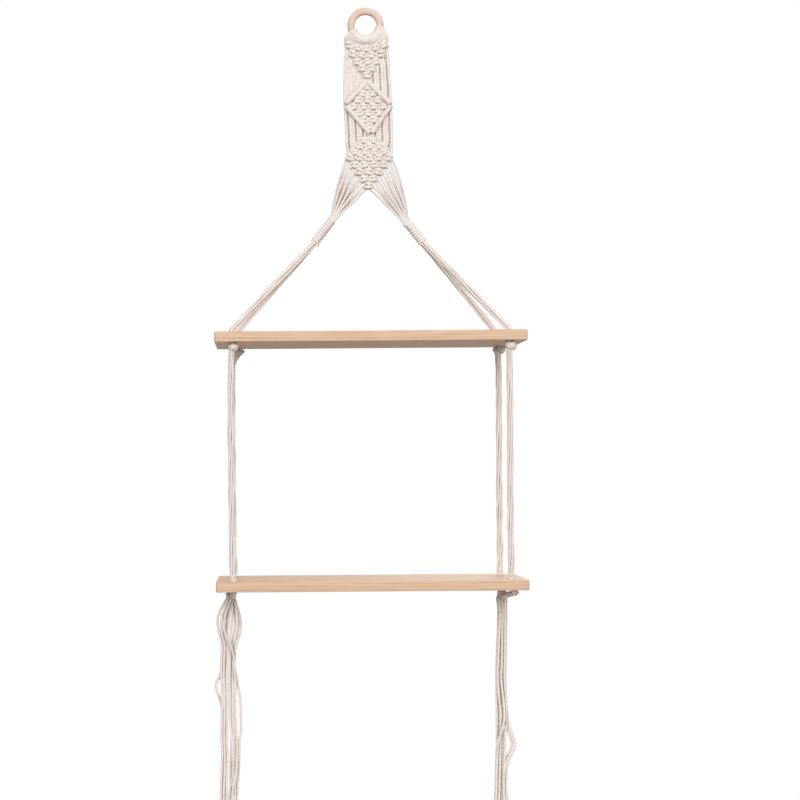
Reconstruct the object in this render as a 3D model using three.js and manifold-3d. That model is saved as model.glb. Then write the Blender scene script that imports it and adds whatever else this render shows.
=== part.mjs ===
// Hanging rope shelf: two wooden boards carried by knotted cotton cords under a wooden ring.
// Millimetres, +Z up, +X to the right, +Y to the back. The origin is the top of the ring's eye,
// where a hook carries the whole shelf.

import * as THREE from 'three';
import { mergeVertices } from 'three/addons/utils/BufferGeometryUtils.js';
import Module from 'manifold-3d';

const wasm = await Module();
wasm.setup();

// Clearance that touching pieces keep, and how far a cutting solid runs past what it cuts
const clearance = 0.3;
const overrun = 60;

// Cotton cord: ten cords are folded in half over the ring, which gives twenty strands
const cordCount = 10;
const cordDiameter = 3.4;
const strandsPerHole = 5;
const strandsPerKnot = 4;

// Wooden ring
const ringOuterDiameter = 50;
const ringTubeDiameter = 10;

// Wooden boards, alike, with a hole near each corner
const boardLength = 420;
const boardDepth = 130;
const boardThickness = 14;
const boardChamfer = 1.2;
const holeFromEnd = 23;
const holeFromEdge = 15;
const holeClearance = 0.5;

// Heights of the boards, from the origin to the upper board's top and from one board's top to the next
const upperBoardDrop = 440.5;
const boardSpacing = 335.5;

// Knotted band: square knots in alternating rows, of which the first ones rise towards their ends
const knotPitch = 12.8;
const knotRowPitch = 9;
const archHeight = 5.5;
const archedRows = 2;
const knotTightRowPitch = 7.9;
const knotLooseRowPitch = 9.6;
const knotDepth = 8.8;
const webThickness = 3.4;

// Diamond of hitched cord in the middle of the band
const diamondWidth = 62;
const diamondUpperHeight = 32;
const diamondLowerHeight = 41;
const hitchDiameter = 6.4;

// Gathering wraps that bind ten strands on each side. They lean alike and end at one height, and the right one is
// the shorter.
const wrapCordDiameter = 3;
const wrapCoreDiameter = 6.4;
const wrapLean = THREE.MathUtils.degToRad(38.5);
const wrapEndDrop = 314.5;
const leftWrapEndOut = 73.6;
const leftWrapLength = 42.5;
const leftWrapTurns = 10;
const rightWrapEndOut = 77.2;
const rightWrapLength = 36;
const rightWrapTurns = 8;

// Knots under the upper board, and the ones that gather the strands under the lower board
const upperKnotDiameter = 16.4;
const gatherDiameter = 14;
const gatherShift = 5;

// How wide one hump of an overhand knot is, as a share of the knot
const humpShare = 0.82;

// Facets
const ringFacetsAround = 28;
const ringFacetsAcross = 10;
const ballFacetsAround = 8;
const ballFacetsHigh = 6;
const humpFacetsAround = 7;
const humpFacetsHigh = 4;
const knotFacetsAround = 6;
const knotFacetsHigh = 3;
const strandSides = 5;
const rollSides = 8;
const tasselSides = 8;
const tasselSteps = 12;
const bowedTasselSteps = 24;
const coilSides = 6;
const coilStepsPerTurn = 10;
const holeFacets = 16;

// Values that follow from the driving dimensions
const cordRadius = cordDiameter / 2;
const ringTubeRadius = ringTubeDiameter / 2;
const ringMeanRadius = (ringOuterDiameter - ringTubeDiameter) / 2;
const ringCentreZ = -(ringMeanRadius - ringTubeRadius);
const knotsAcross = (2 * cordCount) / strandsPerKnot;
const bandHalfWidth = ((knotsAcross - 1) * knotPitch) / 2;
const bundleRadius = cordRadius * (1 + 1 / Math.sin(Math.PI / strandsPerHole));
const holeRadius = bundleRadius + holeClearance;
const holeX = boardLength / 2 - holeFromEnd;
const holeY = boardDepth / 2 - holeFromEdge;
const upperBoardTopZ = -upperBoardDrop;
const upperBoardBottomZ = upperBoardTopZ - boardThickness;
const lowerBoardTopZ = upperBoardTopZ - boardSpacing;
const lowerBoardBottomZ = lowerBoardTopZ - boardThickness;
const shelfHeight = upperBoardDrop + boardSpacing;

const sides = [['left', -1], ['right', 1]];
const knotHalfWidth = (knotPitch - clearance) / 2;
const knotHalfHeight = (knotRowPitch + clearance) / 2;
const knotHalfDepth = knotDepth / 2;
const hitchRadius = hitchDiameter / 2;

const cotton = new THREE.MeshStandardMaterial({ color: '#efe4d9', roughness: 0.95, metalness: 0 });
const pine = new THREE.MeshStandardMaterial({ color: '#dcb893', roughness: 0.6, metalness: 0 });
const beech = new THREE.MeshStandardMaterial({ color: '#d8b69c', roughness: 0.5, metalness: 0 });

function point(x, y, z) {
  return new THREE.Vector3(x, y, z);
}

// A closed three.js geometry as a solid that can be joined and cut
function solidOf(geometry) {
  geometry.deleteAttribute('normal');
  geometry.deleteAttribute('uv');
  const merged = mergeVertices(geometry);
  return new wasm.Manifold(new wasm.Mesh({
    numProp: 3,
    vertProperties: merged.attributes.position.array,
    triVerts: new Uint32Array(merged.index.array),
  }));
}

function joined(solids) {
  return solids.reduce((whole, next) => whole.add(next));
}

function meshOf(name, solid, material) {
  const { vertProperties, triVerts } = solid.getMesh();
  const geometry = new THREE.BufferGeometry();
  geometry.setAttribute('position', new THREE.BufferAttribute(vertProperties, 3));
  geometry.setIndex(new THREE.BufferAttribute(triVerts, 1));
  geometry.computeVertexNormals();
  const mesh = new THREE.Mesh(geometry, material);
  mesh.name = name;
  return mesh;
}

// A regular polygon inside a circle, as the section of one strand
function roundSection(radius, sides) {
  const corners = [];
  for (let i = 0; i < sides; i += 1) {
    const angle = (2 * Math.PI * i) / sides;
    corners.push(new THREE.Vector2(radius * Math.cos(angle), radius * Math.sin(angle)));
  }
  return new THREE.Shape(corners);
}

// The section of strands that lie side by side round a circle, one lobe for each strand
function bundleSection(strands, strandRadius) {
  const lobeHalfAngle = Math.PI / 4;
  const centreRadius = strandRadius / Math.sin(Math.PI / strands);
  const corners = [];
  for (let i = 0; i < strands; i += 1) {
    const angle = (2 * Math.PI * i) / strands;
    for (const turn of [-lobeHalfAngle, lobeHalfAngle]) {
      corners.push(new THREE.Vector2(
        centreRadius * Math.cos(angle) + strandRadius * Math.cos(angle + turn),
        centreRadius * Math.sin(angle) + strandRadius * Math.sin(angle + turn),
      ));
    }
  }
  return new THREE.Shape(corners);
}

// A section swept along a smooth curve through the given points
function swept(section, points, steps) {
  const path = new THREE.CatmullRomCurve3(points, false, 'centripetal');
  return solidOf(new THREE.ExtrudeGeometry(section, { steps, bevelEnabled: false, extrudePath: path }));
}

// A solid whose skin runs between lines of equally many places, given in order round it. Its flat ends face down.
function lofted(lines) {
  const rows = lines[0].length;
  const positions = lines.flat().flatMap(({ x, y, z }) => [x, y, z]);
  const faces = [];
  lines.forEach((line, i) => {
    const here = i * rows;
    const next = ((i + 1) % lines.length) * rows;
    for (let k = 0; k + 1 < rows; k += 1) {
      faces.push(here + k, next + k, here + k + 1, next + k, next + k + 1, here + k + 1);
    }
  });
  for (const end of [0, rows - 1]) {
    const rim = lines.map((line) => new THREE.Vector2(line[end].x, line[end].y));
    for (const [a, b, c] of THREE.ShapeUtils.triangulateShape(rim, [])) {
      faces.push(...[c, b, a].map((corner) => corner * rows + end));
    }
  }
  const geometry = new THREE.BufferGeometry();
  geometry.setAttribute('position', new THREE.Float32BufferAttribute(positions, 3));
  geometry.setIndex(faces);
  return solidOf(geometry);
}

// An upright prism of a section, from a low height to a high one, round the Z axis
function upright(section, lowZ, highZ) {
  const geometry = new THREE.ExtrudeGeometry(section, { depth: highZ - lowZ, bevelEnabled: false });
  geometry.translate(0, 0, lowZ);
  return solidOf(geometry);
}

// A block that fills the space beyond a plane, which stands square to a direction in X and Z
function beyond(place, direction) {
  const far = direction.clone().setLength(boardLength);
  const across = point(-far.z, 0, far.x);
  const near = [place.clone().sub(across), place.clone().add(across)];
  const corners = [...near, near[1].clone().add(far), near[0].clone().add(far)];
  return slab(corners.map(({ x, z }) => [x, z]), boardDepth);
}

// An outline in X and Z, made solid to the same depth in front of and behind the band's middle
function slab(outline, halfDepth) {
  const shape = new THREE.Shape(outline.map(([x, z]) => new THREE.Vector2(x, z)));
  const geometry = new THREE.ExtrudeGeometry(shape, { depth: 2 * halfDepth, bevelEnabled: false });
  geometry.rotateX(Math.PI / 2);
  geometry.translate(0, halfDepth, 0);
  return solidOf(geometry);
}

// A block that fills the space in front of the band's middle or behind it, from a distance to the middle on
function facing(face, nearY) {
  const geometry = new THREE.BoxGeometry(2 * boardLength, boardDepth, 2 * shelfHeight);
  geometry.translate(0, face * (boardDepth / 2 + nearY), -shelfHeight);
  return solidOf(geometry);
}

function ball(centre, radius) {
  const geometry = new THREE.SphereGeometry(radius, ballFacetsAround, ballFacetsHigh);
  geometry.translate(centre.x, centre.y, centre.z);
  return solidOf(geometry);
}

// The hump of one square knot, with a corner up and one down, deepest in its middle
function squareKnot(x, z) {
  const geometry = new THREE.SphereGeometry(1, knotFacetsAround, knotFacetsHigh);
  geometry.rotateY(Math.PI / knotFacetsAround);
  geometry.computeBoundingBox();
  const reach = geometry.boundingBox.max;
  geometry.scale(knotHalfWidth / reach.x, knotHalfDepth / reach.y, knotHalfHeight / reach.z);
  geometry.translate(x, 0, z);
  return solidOf(geometry);
}

// The places of the knots of a row, which is centred on the band and may rise towards its ends
function rowPlaces({ count, z, arch = 0 }) {
  const places = [];
  for (let i = 0; i < count; i += 1) {
    const x = (i - (count - 1) / 2) * knotPitch;
    places.push([x, z + arch * (x / bandHalfWidth) ** 2]);
  }
  return places;
}

function knotRows(rows) {
  return rows.flatMap(rowPlaces).map(([x, z]) => squareKnot(x, z));
}

// Wooden ring
function hangingRing() {
  const geometry = new THREE.TorusGeometry(ringMeanRadius, ringTubeRadius, ringFacetsAcross, ringFacetsAround);
  geometry.rotateX(Math.PI / 2);
  geometry.translate(0, 0, ringCentreZ);
  return solidOf(geometry);
}

// Folded cords over the ring. The four strands of two neighbouring cords share a knot and are one piece,
// a band of four ridges that lies over the ring with its two ends hanging down to the knots.
const strandPitch = knotPitch / strandsPerKnot;
const loopCordRadius = (strandPitch - clearance) / 2;
const loopSpan = THREE.MathUtils.degToRad(164);
const loopFirstTurn = THREE.MathUtils.degToRad(62);
const loopArcSteps = 6;
const loopHalfStep = (Math.PI - loopFirstTurn) / loopArcSteps;
const loopRadius = (ringTubeRadius + clearance + loopCordRadius) / Math.cos(loopHalfStep);
const loopLegHalfGap = loopCordRadius + clearance / 2;
const loopInnerPitch = ((ringMeanRadius - loopRadius) * loopSpan) / (2 * cordCount);
const loopEdge = clearance / loopInnerPitch / 2;
const loopValleyShare = 0.3;
const ringBottomZ = ringCentreZ - ringMeanRadius;
const loopEndZ = ringBottomZ - loopRadius;

// The middle line of a strand, given by its number counted from the left, and the way that faces off the ring
function loopCourse(strand, endZ) {
  const angle = -Math.PI / 2 + (strand / (2 * cordCount) - 0.5) * loopSpan;
  const outward = point(Math.cos(angle), 0, Math.sin(angle));
  const barCentre = outward.clone().multiplyScalar(ringMeanRadius).add(point(0, 0, ringCentreZ));
  const legX = (strand - cordCount) * strandPitch;
  const course = [{ place: point(legX, -loopLegHalfGap, endZ), off: point(0, -1, 0) }];
  for (let i = 0; i <= loopArcSteps; i += 1) {
    const turn = loopFirstTurn + 2 * i * loopHalfStep;
    const off = outward.clone().multiplyScalar(Math.cos(turn)).add(point(0, -Math.sin(turn), 0));
    course.push({ place: barCentre.clone().addScaledVector(off, loopRadius), off });
  }
  course.push({ place: point(legX, loopLegHalfGap, endZ), off: point(0, 1, 0) });
  return course;
}

function loopPair(pair) {
  const first = pair * strandsPerKnot;
  const last = first + strandsPerKnot;
  const endZ = rowPlaces({ count: knotsAcross, z: loopEndZ, arch: archHeight })[pair][1];
  const lines = [];
  for (let i = 0; i <= 2 * strandsPerKnot; i += 1) {
    const strand = THREE.MathUtils.clamp(first + i / 2, first + loopEdge, last - loopEdge);
    const offset = loopCordRadius * (i % 2 === 1 ? 1 : loopValleyShare);
    lines.push(loopCourse(strand, endZ).map(({ place, off }) => place.clone().addScaledVector(off, offset)));
  }
  for (let i = strandsPerKnot; i >= 0; i -= 1) {
    const strand = THREE.MathUtils.clamp(first + i, first + loopEdge, last - loopEdge);
    const course = loopCourse(strand, endZ);
    lines.push(course.map(({ place, off }) => place.clone().addScaledVector(off, -loopCordRadius)));
  }
  return lofted(lines);
}

// Knotted band: an upper field that narrows to a point, the diamond, and a lower field that widens and narrows
const upperFieldTopZ = loopEndZ - clearance - knotHalfHeight;
const upperRows = [];
for (let i = 0; i < knotsAcross; i += 1) {
  const arch = archHeight * Math.max(0, 1 - i / archedRows);
  upperRows.push({ count: knotsAcross - i, z: upperFieldTopZ - i * knotRowPitch, arch });
}
const upperSlope = diamondUpperHeight / (diamondWidth / 2);
const lowerSlope = diamondLowerHeight / (diamondWidth / 2);
const upperHitchReach = hitchRadius * Math.hypot(1, upperSlope);
const lowerHitchReach = hitchRadius * Math.hypot(1, lowerSlope);
const diamondTopZ = upperRows[knotsAcross - 1].z - knotHalfHeight - clearance - upperHitchReach;
const diamondMiddleZ = diamondTopZ - diamondUpperHeight;
const diamondBottomZ = diamondMiddleZ - diamondLowerHeight;
const lowerRows = [];
for (let i = 2; i <= knotsAcross; i += 1) {
  const first = diamondBottomZ - lowerHitchReach - clearance - knotHalfHeight / 2;
  lowerRows.push({ count: i, z: first - (i - 2) * knotTightRowPitch });
}
const lowerWidestZ = lowerRows[lowerRows.length - 1].z;
for (let i = 1; i < knotsAcross; i += 1) {
  lowerRows.push({ count: knotsAcross - i, z: lowerWidestZ - i * knotLooseRowPitch });
}
const lowerApexZ = lowerRows[lowerRows.length - 1].z;

// A straight strand of the band
function sideStrand(x, lowZ, highZ) {
  const geometry = new THREE.CylinderGeometry(cordRadius, cordRadius, highZ - lowZ, strandSides);
  geometry.rotateX(Math.PI / 2);
  geometry.translate(x, 0, (lowZ + highZ) / 2);
  return solidOf(geometry);
}

function upperField() {
  const web = slab([...rowPlaces(upperRows[0]), [0, upperRows[knotsAcross - 1].z]], webThickness / 2);
  const strands = [];
  for (const row of upperRows.slice(0, -1)) {
    const [edge, highZ] = rowPlaces(row).at(-1);
    for (const x of [edge + strandPitch / 2, edge + 1.5 * strandPitch]) {
      const lowZ = diamondTopZ - x * upperSlope + upperHitchReach + clearance + cordRadius * upperSlope;
      strands.push(sideStrand(x, lowZ, highZ), sideStrand(-x, lowZ, highZ));
    }
  }
  return joined([web, ...knotRows(upperRows), ...strands]);
}

// Four rolls of cord hitches round a diamond of square knots
function diamond() {
  const corners = [
    [0, diamondTopZ], [diamondWidth / 2, diamondMiddleZ], [0, diamondBottomZ], [-diamondWidth / 2, diamondMiddleZ],
  ];
  const rolls = corners.map(([x, z], i) => {
    const [nextX, nextZ] = corners[(i + 1) % corners.length];
    return swept(roundSection(hitchRadius, rollSides), [point(x, 0, z), point(nextX, 0, nextZ)], 1);
  });
  const tips = corners.map(([x, z]) => ball(point(x, 0, z), hitchRadius));
  const rows = [];
  const widest = knotsAcross - 1;
  for (let i = 1 - widest; i < widest; i += 1) {
    rows.push({ count: widest - Math.abs(i), z: diamondMiddleZ - (i + 0.25) * knotRowPitch });
  }
  return joined([slab(corners, webThickness / 2), ...rolls, ...tips, ...knotRows(rows)]);
}

function lowerField() {
  const web = slab([
    [-knotPitch / 2, lowerRows[0].z], [-bandHalfWidth, lowerWidestZ], [0, lowerApexZ],
    [bandHalfWidth, lowerWidestZ], [knotPitch / 2, lowerRows[0].z],
  ], webThickness / 2);
  const strands = [];
  for (const { count, z } of lowerRows.slice(0, knotsAcross - 1)) {
    const inner = (count - 1) * knotPitch / 2;
    for (const x of [inner + strandPitch / 2, inner + 1.5 * strandPitch]) {
      const nearest = Math.min(x, diamondWidth / 2) - cordRadius;
      const highZ = diamondBottomZ + nearest * lowerSlope - lowerHitchReach - clearance;
      strands.push(sideStrand(x, z, highZ), sideStrand(-x, z, highZ));
    }
  }
  return joined([web, ...knotRows(lowerRows), ...strands]);
}

// Fans: ten strands on each side run from the lower field's edge into the gathering wrap
const fanSteps = 3;
const fanLayerOffset = cordDiameter / 2;
const fanEntryRadius = wrapCoreDiameter / 2 + cordRadius / 2;
const wrapDirection = point(Math.sin(wrapLean), 0, -Math.cos(wrapLean));

// Where a wrap begins and ends. Each side's pieces are made as on the right and mirrored for the left.
function wrapAt(endOut, length, turns) {
  const end = point(endOut, 0, -wrapEndDrop);
  return { top: end.clone().addScaledVector(wrapDirection, -length), end, length, turns };
}

// The area that a fan may fill: below the lowest knot and the slanting edge of the lower field
function fanOutline({ end }) {
  const along = point(-knotPitch / 2, 0, -knotLooseRowPitch).normalize();
  const normal = point(-along.z, 0, along.x);
  const under = point(clearance / 2, 0, lowerApexZ - knotHalfHeight - clearance);
  const knotSide = point(knotHalfWidth, 0, lowerApexZ - knotHalfHeight / 2);
  const beside = knotSide.addScaledVector(normal, clearance);
  const upper = beside.clone().addScaledVector(along, -2 * overrun);
  return [
    [under.x, under.z], [beside.x, beside.z], [upper.x, upper.z],
    [end.x + overrun, upper.z], [end.x + overrun, end.z - overrun], [under.x, end.z - overrun],
  ];
}

function fanStrand(index, { top }) {
  const across = point(-wrapDirection.z, 0, wrapDirection.x);
  const share = (index + 0.5) / cordCount;
  const start = point((index + 0.5) * strandPitch, 0, 0);
  start.z = lowerApexZ + (start.x / (knotPitch / 2)) * knotLooseRowPitch;
  const out = start.clone().add(point(cordRadius, 0, -2 * knotHalfHeight));
  const layer = point(0, (index % 2 === 0 ? -1 : 1) * fanLayerOffset, 0);
  const entry = top.clone().addScaledVector(across, (2 * share - 1) * fanEntryRadius).add(layer);
  const middle = out.clone().lerp(entry, 0.5).add(layer);
  const end = entry.clone().addScaledVector(wrapDirection, cordDiameter);
  return swept(roundSection(cordRadius, strandSides), [start, out, middle, entry, end], fanSteps);
}

function fan(wrap) {
  const strands = [];
  for (let i = 0; i < cordCount; i += 1) {
    strands.push(fanStrand(i, wrap));
  }
  const aboveWrap = beyond(wrap.top, wrapDirection.clone().negate());
  const spread = joined(strands).intersect(slab(fanOutline(wrap), overrun)).intersect(aboveWrap);
  const coreStart = wrap.top.clone().addScaledVector(wrapDirection, -2 * cordDiameter);
  const core = swept(roundSection(wrapCoreDiameter / 2, rollSides), [coreStart, wrap.end], 1);
  return joined([spread, core, ball(wrap.end, wrapCoreDiameter / 2)]);
}

// A solid of the right side, or its mirror image for the left
function onSide(solid, side) {
  return side > 0 ? solid : solid.mirror([1, 0, 0]);
}

// Gathering wrap: one cord wound round the ten strands, with straight ends
const wrapCordRadius = wrapCordDiameter / 2;
const coilRadius = wrapCoreDiameter / 2 + clearance + wrapCordRadius;
const coilTop = wrapCordRadius + clearance;

function coilPoints({ top, length, turns }) {
  const pitch = (length - coilTop - wrapCordDiameter) / turns;
  const across = point(-wrapDirection.z, 0, wrapDirection.x);
  const outward = point(0, 1, 0);
  const start = top.clone().addScaledVector(wrapDirection, coilTop);
  const places = [];
  for (let i = 0; i <= turns * coilStepsPerTurn; i += 1) {
    const turn = i / coilStepsPerTurn;
    const angle = 2 * Math.PI * turn;
    places.push(start.clone()
      .addScaledVector(wrapDirection, turn * pitch)
      .addScaledVector(across, coilRadius * Math.cos(angle))
      .addScaledVector(outward, coilRadius * Math.sin(angle)));
  }
  const straight = (end, before) => end.clone().add(end.clone().sub(before).setLength(wrapCordDiameter));
  const last = places.length - 1;
  return [straight(places[0], places[1]), ...places, straight(places[last], places[last - 1])];
}

function leastGap(places) {
  let least = Infinity;
  for (let i = 0; i < places.length; i += 1) {
    for (let j = i + coilStepsPerTurn / 2; j < places.length; j += 1) {
      least = Math.min(least, places[i].distanceTo(places[j]) - wrapCordDiameter);
    }
  }
  return least;
}

function gatheringWrap(wrap) {
  const places = coilPoints(wrap);
  console.log(`gathering wrap, least gap to itself: ${leastGap(places).toFixed(2)} mm`);
  return swept(roundSection(wrapCordRadius, coilSides), places, places.length - 1);
}

// Legs: five strands from a wrap to one hole of the upper board, and down through the hole
function leg(wrap, face) {
  const section = bundleSection(strandsPerHole, cordRadius);
  const hole = point(holeX, face * holeY, upperBoardTopZ);
  const bend = hole.clone().add(point(0, 0, bundleRadius));
  const bundle = joined([
    swept(section, [wrap.end, bend], 1),
    ball(bend, bundleRadius),
    upright(section, -boardThickness, bundleRadius).translate([hole.x, hole.y, hole.z]),
  ]);
  const underWrap = wrap.end.clone().addScaledVector(wrapDirection, wrapCoreDiameter / 2 + clearance);
  return bundle.intersect(beyond(underWrap, wrapDirection)).intersect(facing(face, clearance / 2));
}

// Board with chamfered edges and four round holes
function board() {
  const half = point(boardLength / 2 - boardChamfer, boardDepth / 2 - boardChamfer, 0);
  const shape = new THREE.Shape([
    new THREE.Vector2(-half.x, -half.y), new THREE.Vector2(half.x, -half.y),
    new THREE.Vector2(half.x, half.y), new THREE.Vector2(-half.x, half.y),
  ]);
  const plate = new THREE.ExtrudeGeometry(shape, {
    depth: boardThickness - 2 * boardChamfer,
    bevelThickness: boardChamfer,
    bevelSize: boardChamfer,
    bevelSegments: 1,
  });
  plate.translate(0, 0, boardChamfer - boardThickness);
  let drilled = solidOf(plate);
  for (const { x, y } of corners()) {
    const hole = new THREE.CylinderGeometry(holeRadius, holeRadius, 3 * boardThickness, holeFacets);
    hole.rotateX(Math.PI / 2);
    hole.translate(x, y, -boardThickness / 2);
    drilled = drilled.subtract(solidOf(hole));
  }
  return drilled;
}

// The four holes, with the names that the pieces at each of them carry
function corners() {
  const places = [];
  for (const [sideName, side] of sides) {
    for (const [faceName, face] of [['front', -1], ['back', 1]]) {
      places.push({ name: `${sideName}_${faceName}`, sideName, side, face, x: side * holeX, y: face * holeY });
    }
  }
  return places;
}

// Overhand knot: two humps that lean and cross, inside a ball of the knot's diameter
function overhandKnot(diameter) {
  const humps = [];
  const humpCount = 2;
  const humpLean = THREE.MathUtils.degToRad(10);
  for (let i = 0; i < humpCount; i += 1) {
    const geometry = new THREE.SphereGeometry(diameter / 2, humpFacetsAround, humpFacetsHigh);
    geometry.scale(humpShare, 1, 1);
    geometry.rotateY(humpLean);
    geometry.rotateZ((i * Math.PI) / humpCount);
    humps.push(solidOf(geometry));
  }
  return joined(humps);
}

// Rope drop between the boards: a straight bundle of five strands between the knot above and the foot below
const knotPivotZ = upperBoardBottomZ - clearance - upperKnotDiameter / 2;
const footPivotZ = lowerBoardTopZ + clearance + bundleRadius;

function ropeDrop() {
  const highZ = knotPivotZ - upperKnotDiameter / 2 - clearance;
  const lowZ = footPivotZ + bundleRadius + clearance;
  return upright(bundleSection(strandsPerHole, cordRadius), lowZ, highZ);
}

// Foot of a rope drop, where the five strands bend into the lower board's hole
function ropeFoot() {
  return ball(point(0, 0, 0), bundleRadius);
}

// The strands in a hole of the lower board. They turn under it and run along its underside to the gather knot.
const gatherZ = lowerBoardBottomZ - clearance - gatherDiameter / 2;
const armZ = lowerBoardBottomZ - clearance - bundleRadius;

function lowerStrands({ face, x, y }) {
  const bend = point(x, y, armZ);
  const strands = joined([
    upright(bundleSection(strandsPerHole, cordRadius), armZ, lowerBoardTopZ).translate([x, y, 0]),
    ball(bend, bundleRadius),
    swept(roundSection(bundleRadius, rollSides), [bend, point(x - gatherShift, 0, armZ)], 1),
  ]);
  return strands.intersect(facing(face, gatherDiameter / 2 + clearance));
}

// Tassels: each gather knot lets ten strands hang free, two of them with a bow. A strand's route is given by
// hand, as its drops under the knot and, at each drop, its place across and in depth.
const tasselTopZ = gatherZ - gatherDiameter / 2 - clearance;
const tasselRoutes = {
  left: {
    drops: [0, 10, 24, 38, 52, 64, 84, 104, 118, 140, 162, 184, 194, 214, 238, 262, 290, 330, 376],
    strands: [
      {
        steps: tasselSteps,
        across: [
          -6, -12, -17.5, -17.5, -14.5, -12, -13, -13.5, -13, -13, -13, -13.5, -13.5, -13, -14, -15, -15,
          -15, -14,
        ],
        inDepth: [0, -0.5, -1, -1, -1.5, -2, -2, -2, -2.5, -2.5, -2, -2, -2, -2, -2, -2, -2, -2, -2],
      },
      {
        steps: tasselSteps,
        across: [
          -4, -7.5, -12, -13, -11, -8.5, -9.5, -10, -9.5, -9, -9.5, -10, -10, -9.5, -10, -11, -11.5, -11,
          -10,
        ],
        inDepth: [
          -3.5, -3.5, -3.5, -3, -3.5, -3, -2.5, -2.5, -3, -3, -2.5, -2.5, -2.5, -2.5, -3, -3, -3, -3, -3,
        ],
      },
      {
        steps: tasselSteps,
        across: [0, -3.5, -8, -9, -5.5, 0.5, 4.5, 5.5, 6, 5.5, 5.5, 7, 7.5, 8, 6, 1.5, -1, -3, -3],
        inDepth: [
          -3.5, -4.5, -4.5, -5.5, -6.5, -6.5, -5, -4.5, -4, -3.5, -3, -3, -3, -3, -5, -5.5, -3.5, -3, -3,
        ],
      },
      {
        steps: tasselSteps,
        across: [
          -2, -1, -2.5, -3.5, -4.5, -4.5, -5, -6, -6, -5.5, -6, -6, -6.5, -5.5, -6.5, -7, -7.5, -7, -6.5,
        ],
        inDepth: [
          0, -0.5, -1, -1.5, -2.5, -2.5, -2.5, -2.5, -2.5, -2.5, -2.5, -2.5, -2.5, -2.5, -2.5, -2.5,
          -2.5, -2.5, -2.5,
        ],
      },
      {
        steps: tasselSteps,
        across: [2, 2.5, 2, 1, -0.5, -1, -1, -2, -2, -1.5, -1.5, 0, 0.5, 1.5, 2, -2.5, -4, -4, -3],
        inDepth: [
          0, -2, -2.5, -2.5, -2.5, -2.5, -2.5, -2.5, -2.5, -2.5, -2.5, -2.5, -2.5, -2.5, -1.5, -1, -0.5,
          0.5, 0.5,
        ],
      },
      {
        steps: tasselSteps,
        across: [4, 9, 13, 14, 11, 7, 5, 2.5, 2, 2, 2, 3.5, 4.5, 5, 5.5, 4.5, 4.5, 4, 3.5],
        inDepth: [-3.5, -3, -1.5, -1, -1, -1, -1, -1, -2.5, -3, -3, -2, -1, 0, -0.5, -2, -2, -2, -2],
      },
      {
        steps: bowedTasselSteps,
        across: [
          -4, -6, -9, -8.5, -9.5, -10, -11, -15, -21, -15, -11.5, -11.5, -12, -11.5, -12, -13, -13.5,
          -13, -12.5,
        ],
        inDepth: [3.5, 3.5, 2, 2, 2, 2.5, 2.5, 1.5, 0.5, 1.5, 2.5, 2, 2, 2, 2, 2, 2, 2, 2],
      },
      {
        steps: tasselSteps,
        across: [
          0, -1.5, -4.5, -5, -5.5, -6, -7, -7.5, -7.5, -7, -7.5, -8, -8, -7.5, -8, -9, -9.5, -9, -8.5,
        ],
        inDepth: [
          3.5, 3.5, 3, 3, 2.5, 2.5, 2.5, 2.5, 2.5, 2.5, 2.5, 2.5, 2.5, 2.5, 2.5, 2.5, 2.5, 2.5, 2.5,
        ],
      },
      {
        steps: tasselSteps,
        across: [4, 4.5, 6, 6, 3.5, 2, 0.5, -0.5, -0.5, -0.5, -1, 0, 0, -0.5, -1.5, -1.5, -1.5, -1.5, -1],
        inDepth: [
          3.5, 3.5, 3.5, 3, 2.5, 2.5, 2.5, 2.5, 2.5, 2.5, 2.5, 2.5, 2.5, 2.5, 2.5, 2.5, 2.5, 3, 3.5,
        ],
      },
      {
        steps: bowedTasselSteps,
        across: [6, 8.5, 10.5, 10, 7.5, 5.5, 4.5, 6.5, 9.5, 12.5, 13, 13, 11, 10.5, 9.5, 7.5, 5, 4, 4],
        inDepth: [0, 1, 2, 2, 2, 2.5, 3, 2, 1, 0, 0, -0.5, -0.5, 0, 1, 1.5, 2, 2, 2],
      },
    ],
  },
  right: {
    drops: [0, 12, 26, 44, 64, 88, 112, 138, 160, 174, 184, 194, 204, 214, 226, 240, 262, 290, 330, 376],
    strands: [
      {
        steps: tasselSteps,
        across: [
          -4, -3.5, -3, -4, -5, -6, -7, -5, -3, -3, -3.5, -3.5, -3.5, -4, -4.5, -5, -5.5, -6.5, -6.5, -6,
        ],
        inDepth: [
          -3.5, -3.5, -3.5, -3.5, -3.5, -3.5, -3.5, -3.5, -3.5, -3, -2.5, -2, -2, -2.5, -3, -3, -3, -3,
          -3, -3,
        ],
      },
      {
        steps: tasselSteps,
        across: [
          0, 0.5, 0.5, 0, -0.5, -1, -2, 0.5, 2, 0, -3, -6, -7.5, -8, -8.5, -9, -9.5, -10.5, -10, -9.5,
        ],
        inDepth: [
          -3.5, -3.5, -3.5, -3.5, -3.5, -3.5, -3.5, -4, -5.5, -7, -7, -6.5, -5.5, -4, -3, -2.5, -2.5,
          -2.5, -2.5, -2.5,
        ],
      },
      {
        steps: tasselSteps,
        across: [4, 4, 4, 4, 3.5, 3, 2.5, 4.5, 5, 4.5, 3.5, 3, 2.5, 2, 1.5, 1, 0.5, 1, 1.5, 1.5],
        inDepth: [
          -3.5, -3.5, -3.5, -3.5, -3.5, -3.5, -3.5, -3, -2.5, -2, -2.5, -3, -3, -3, -3, -3.5, -3.5, -3.5,
          -3, -3,
        ],
      },
      {
        steps: tasselSteps,
        across: [
          -6, -5, -5, -5.5, -6.5, -7.5, -8, -8, -8, -8, -8, -8, -8, -8.5, -9, -9.5, -10, -12, -12, -11.5,
        ],
        inDepth: [0, 0, 0, 0, 0, 0, 0, -0.5, -0.5, -0.5, -0.5, 0, 0.5, 0.5, 1, 1, 1, 1, 1, 1],
      },
      {
        steps: tasselSteps,
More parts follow.
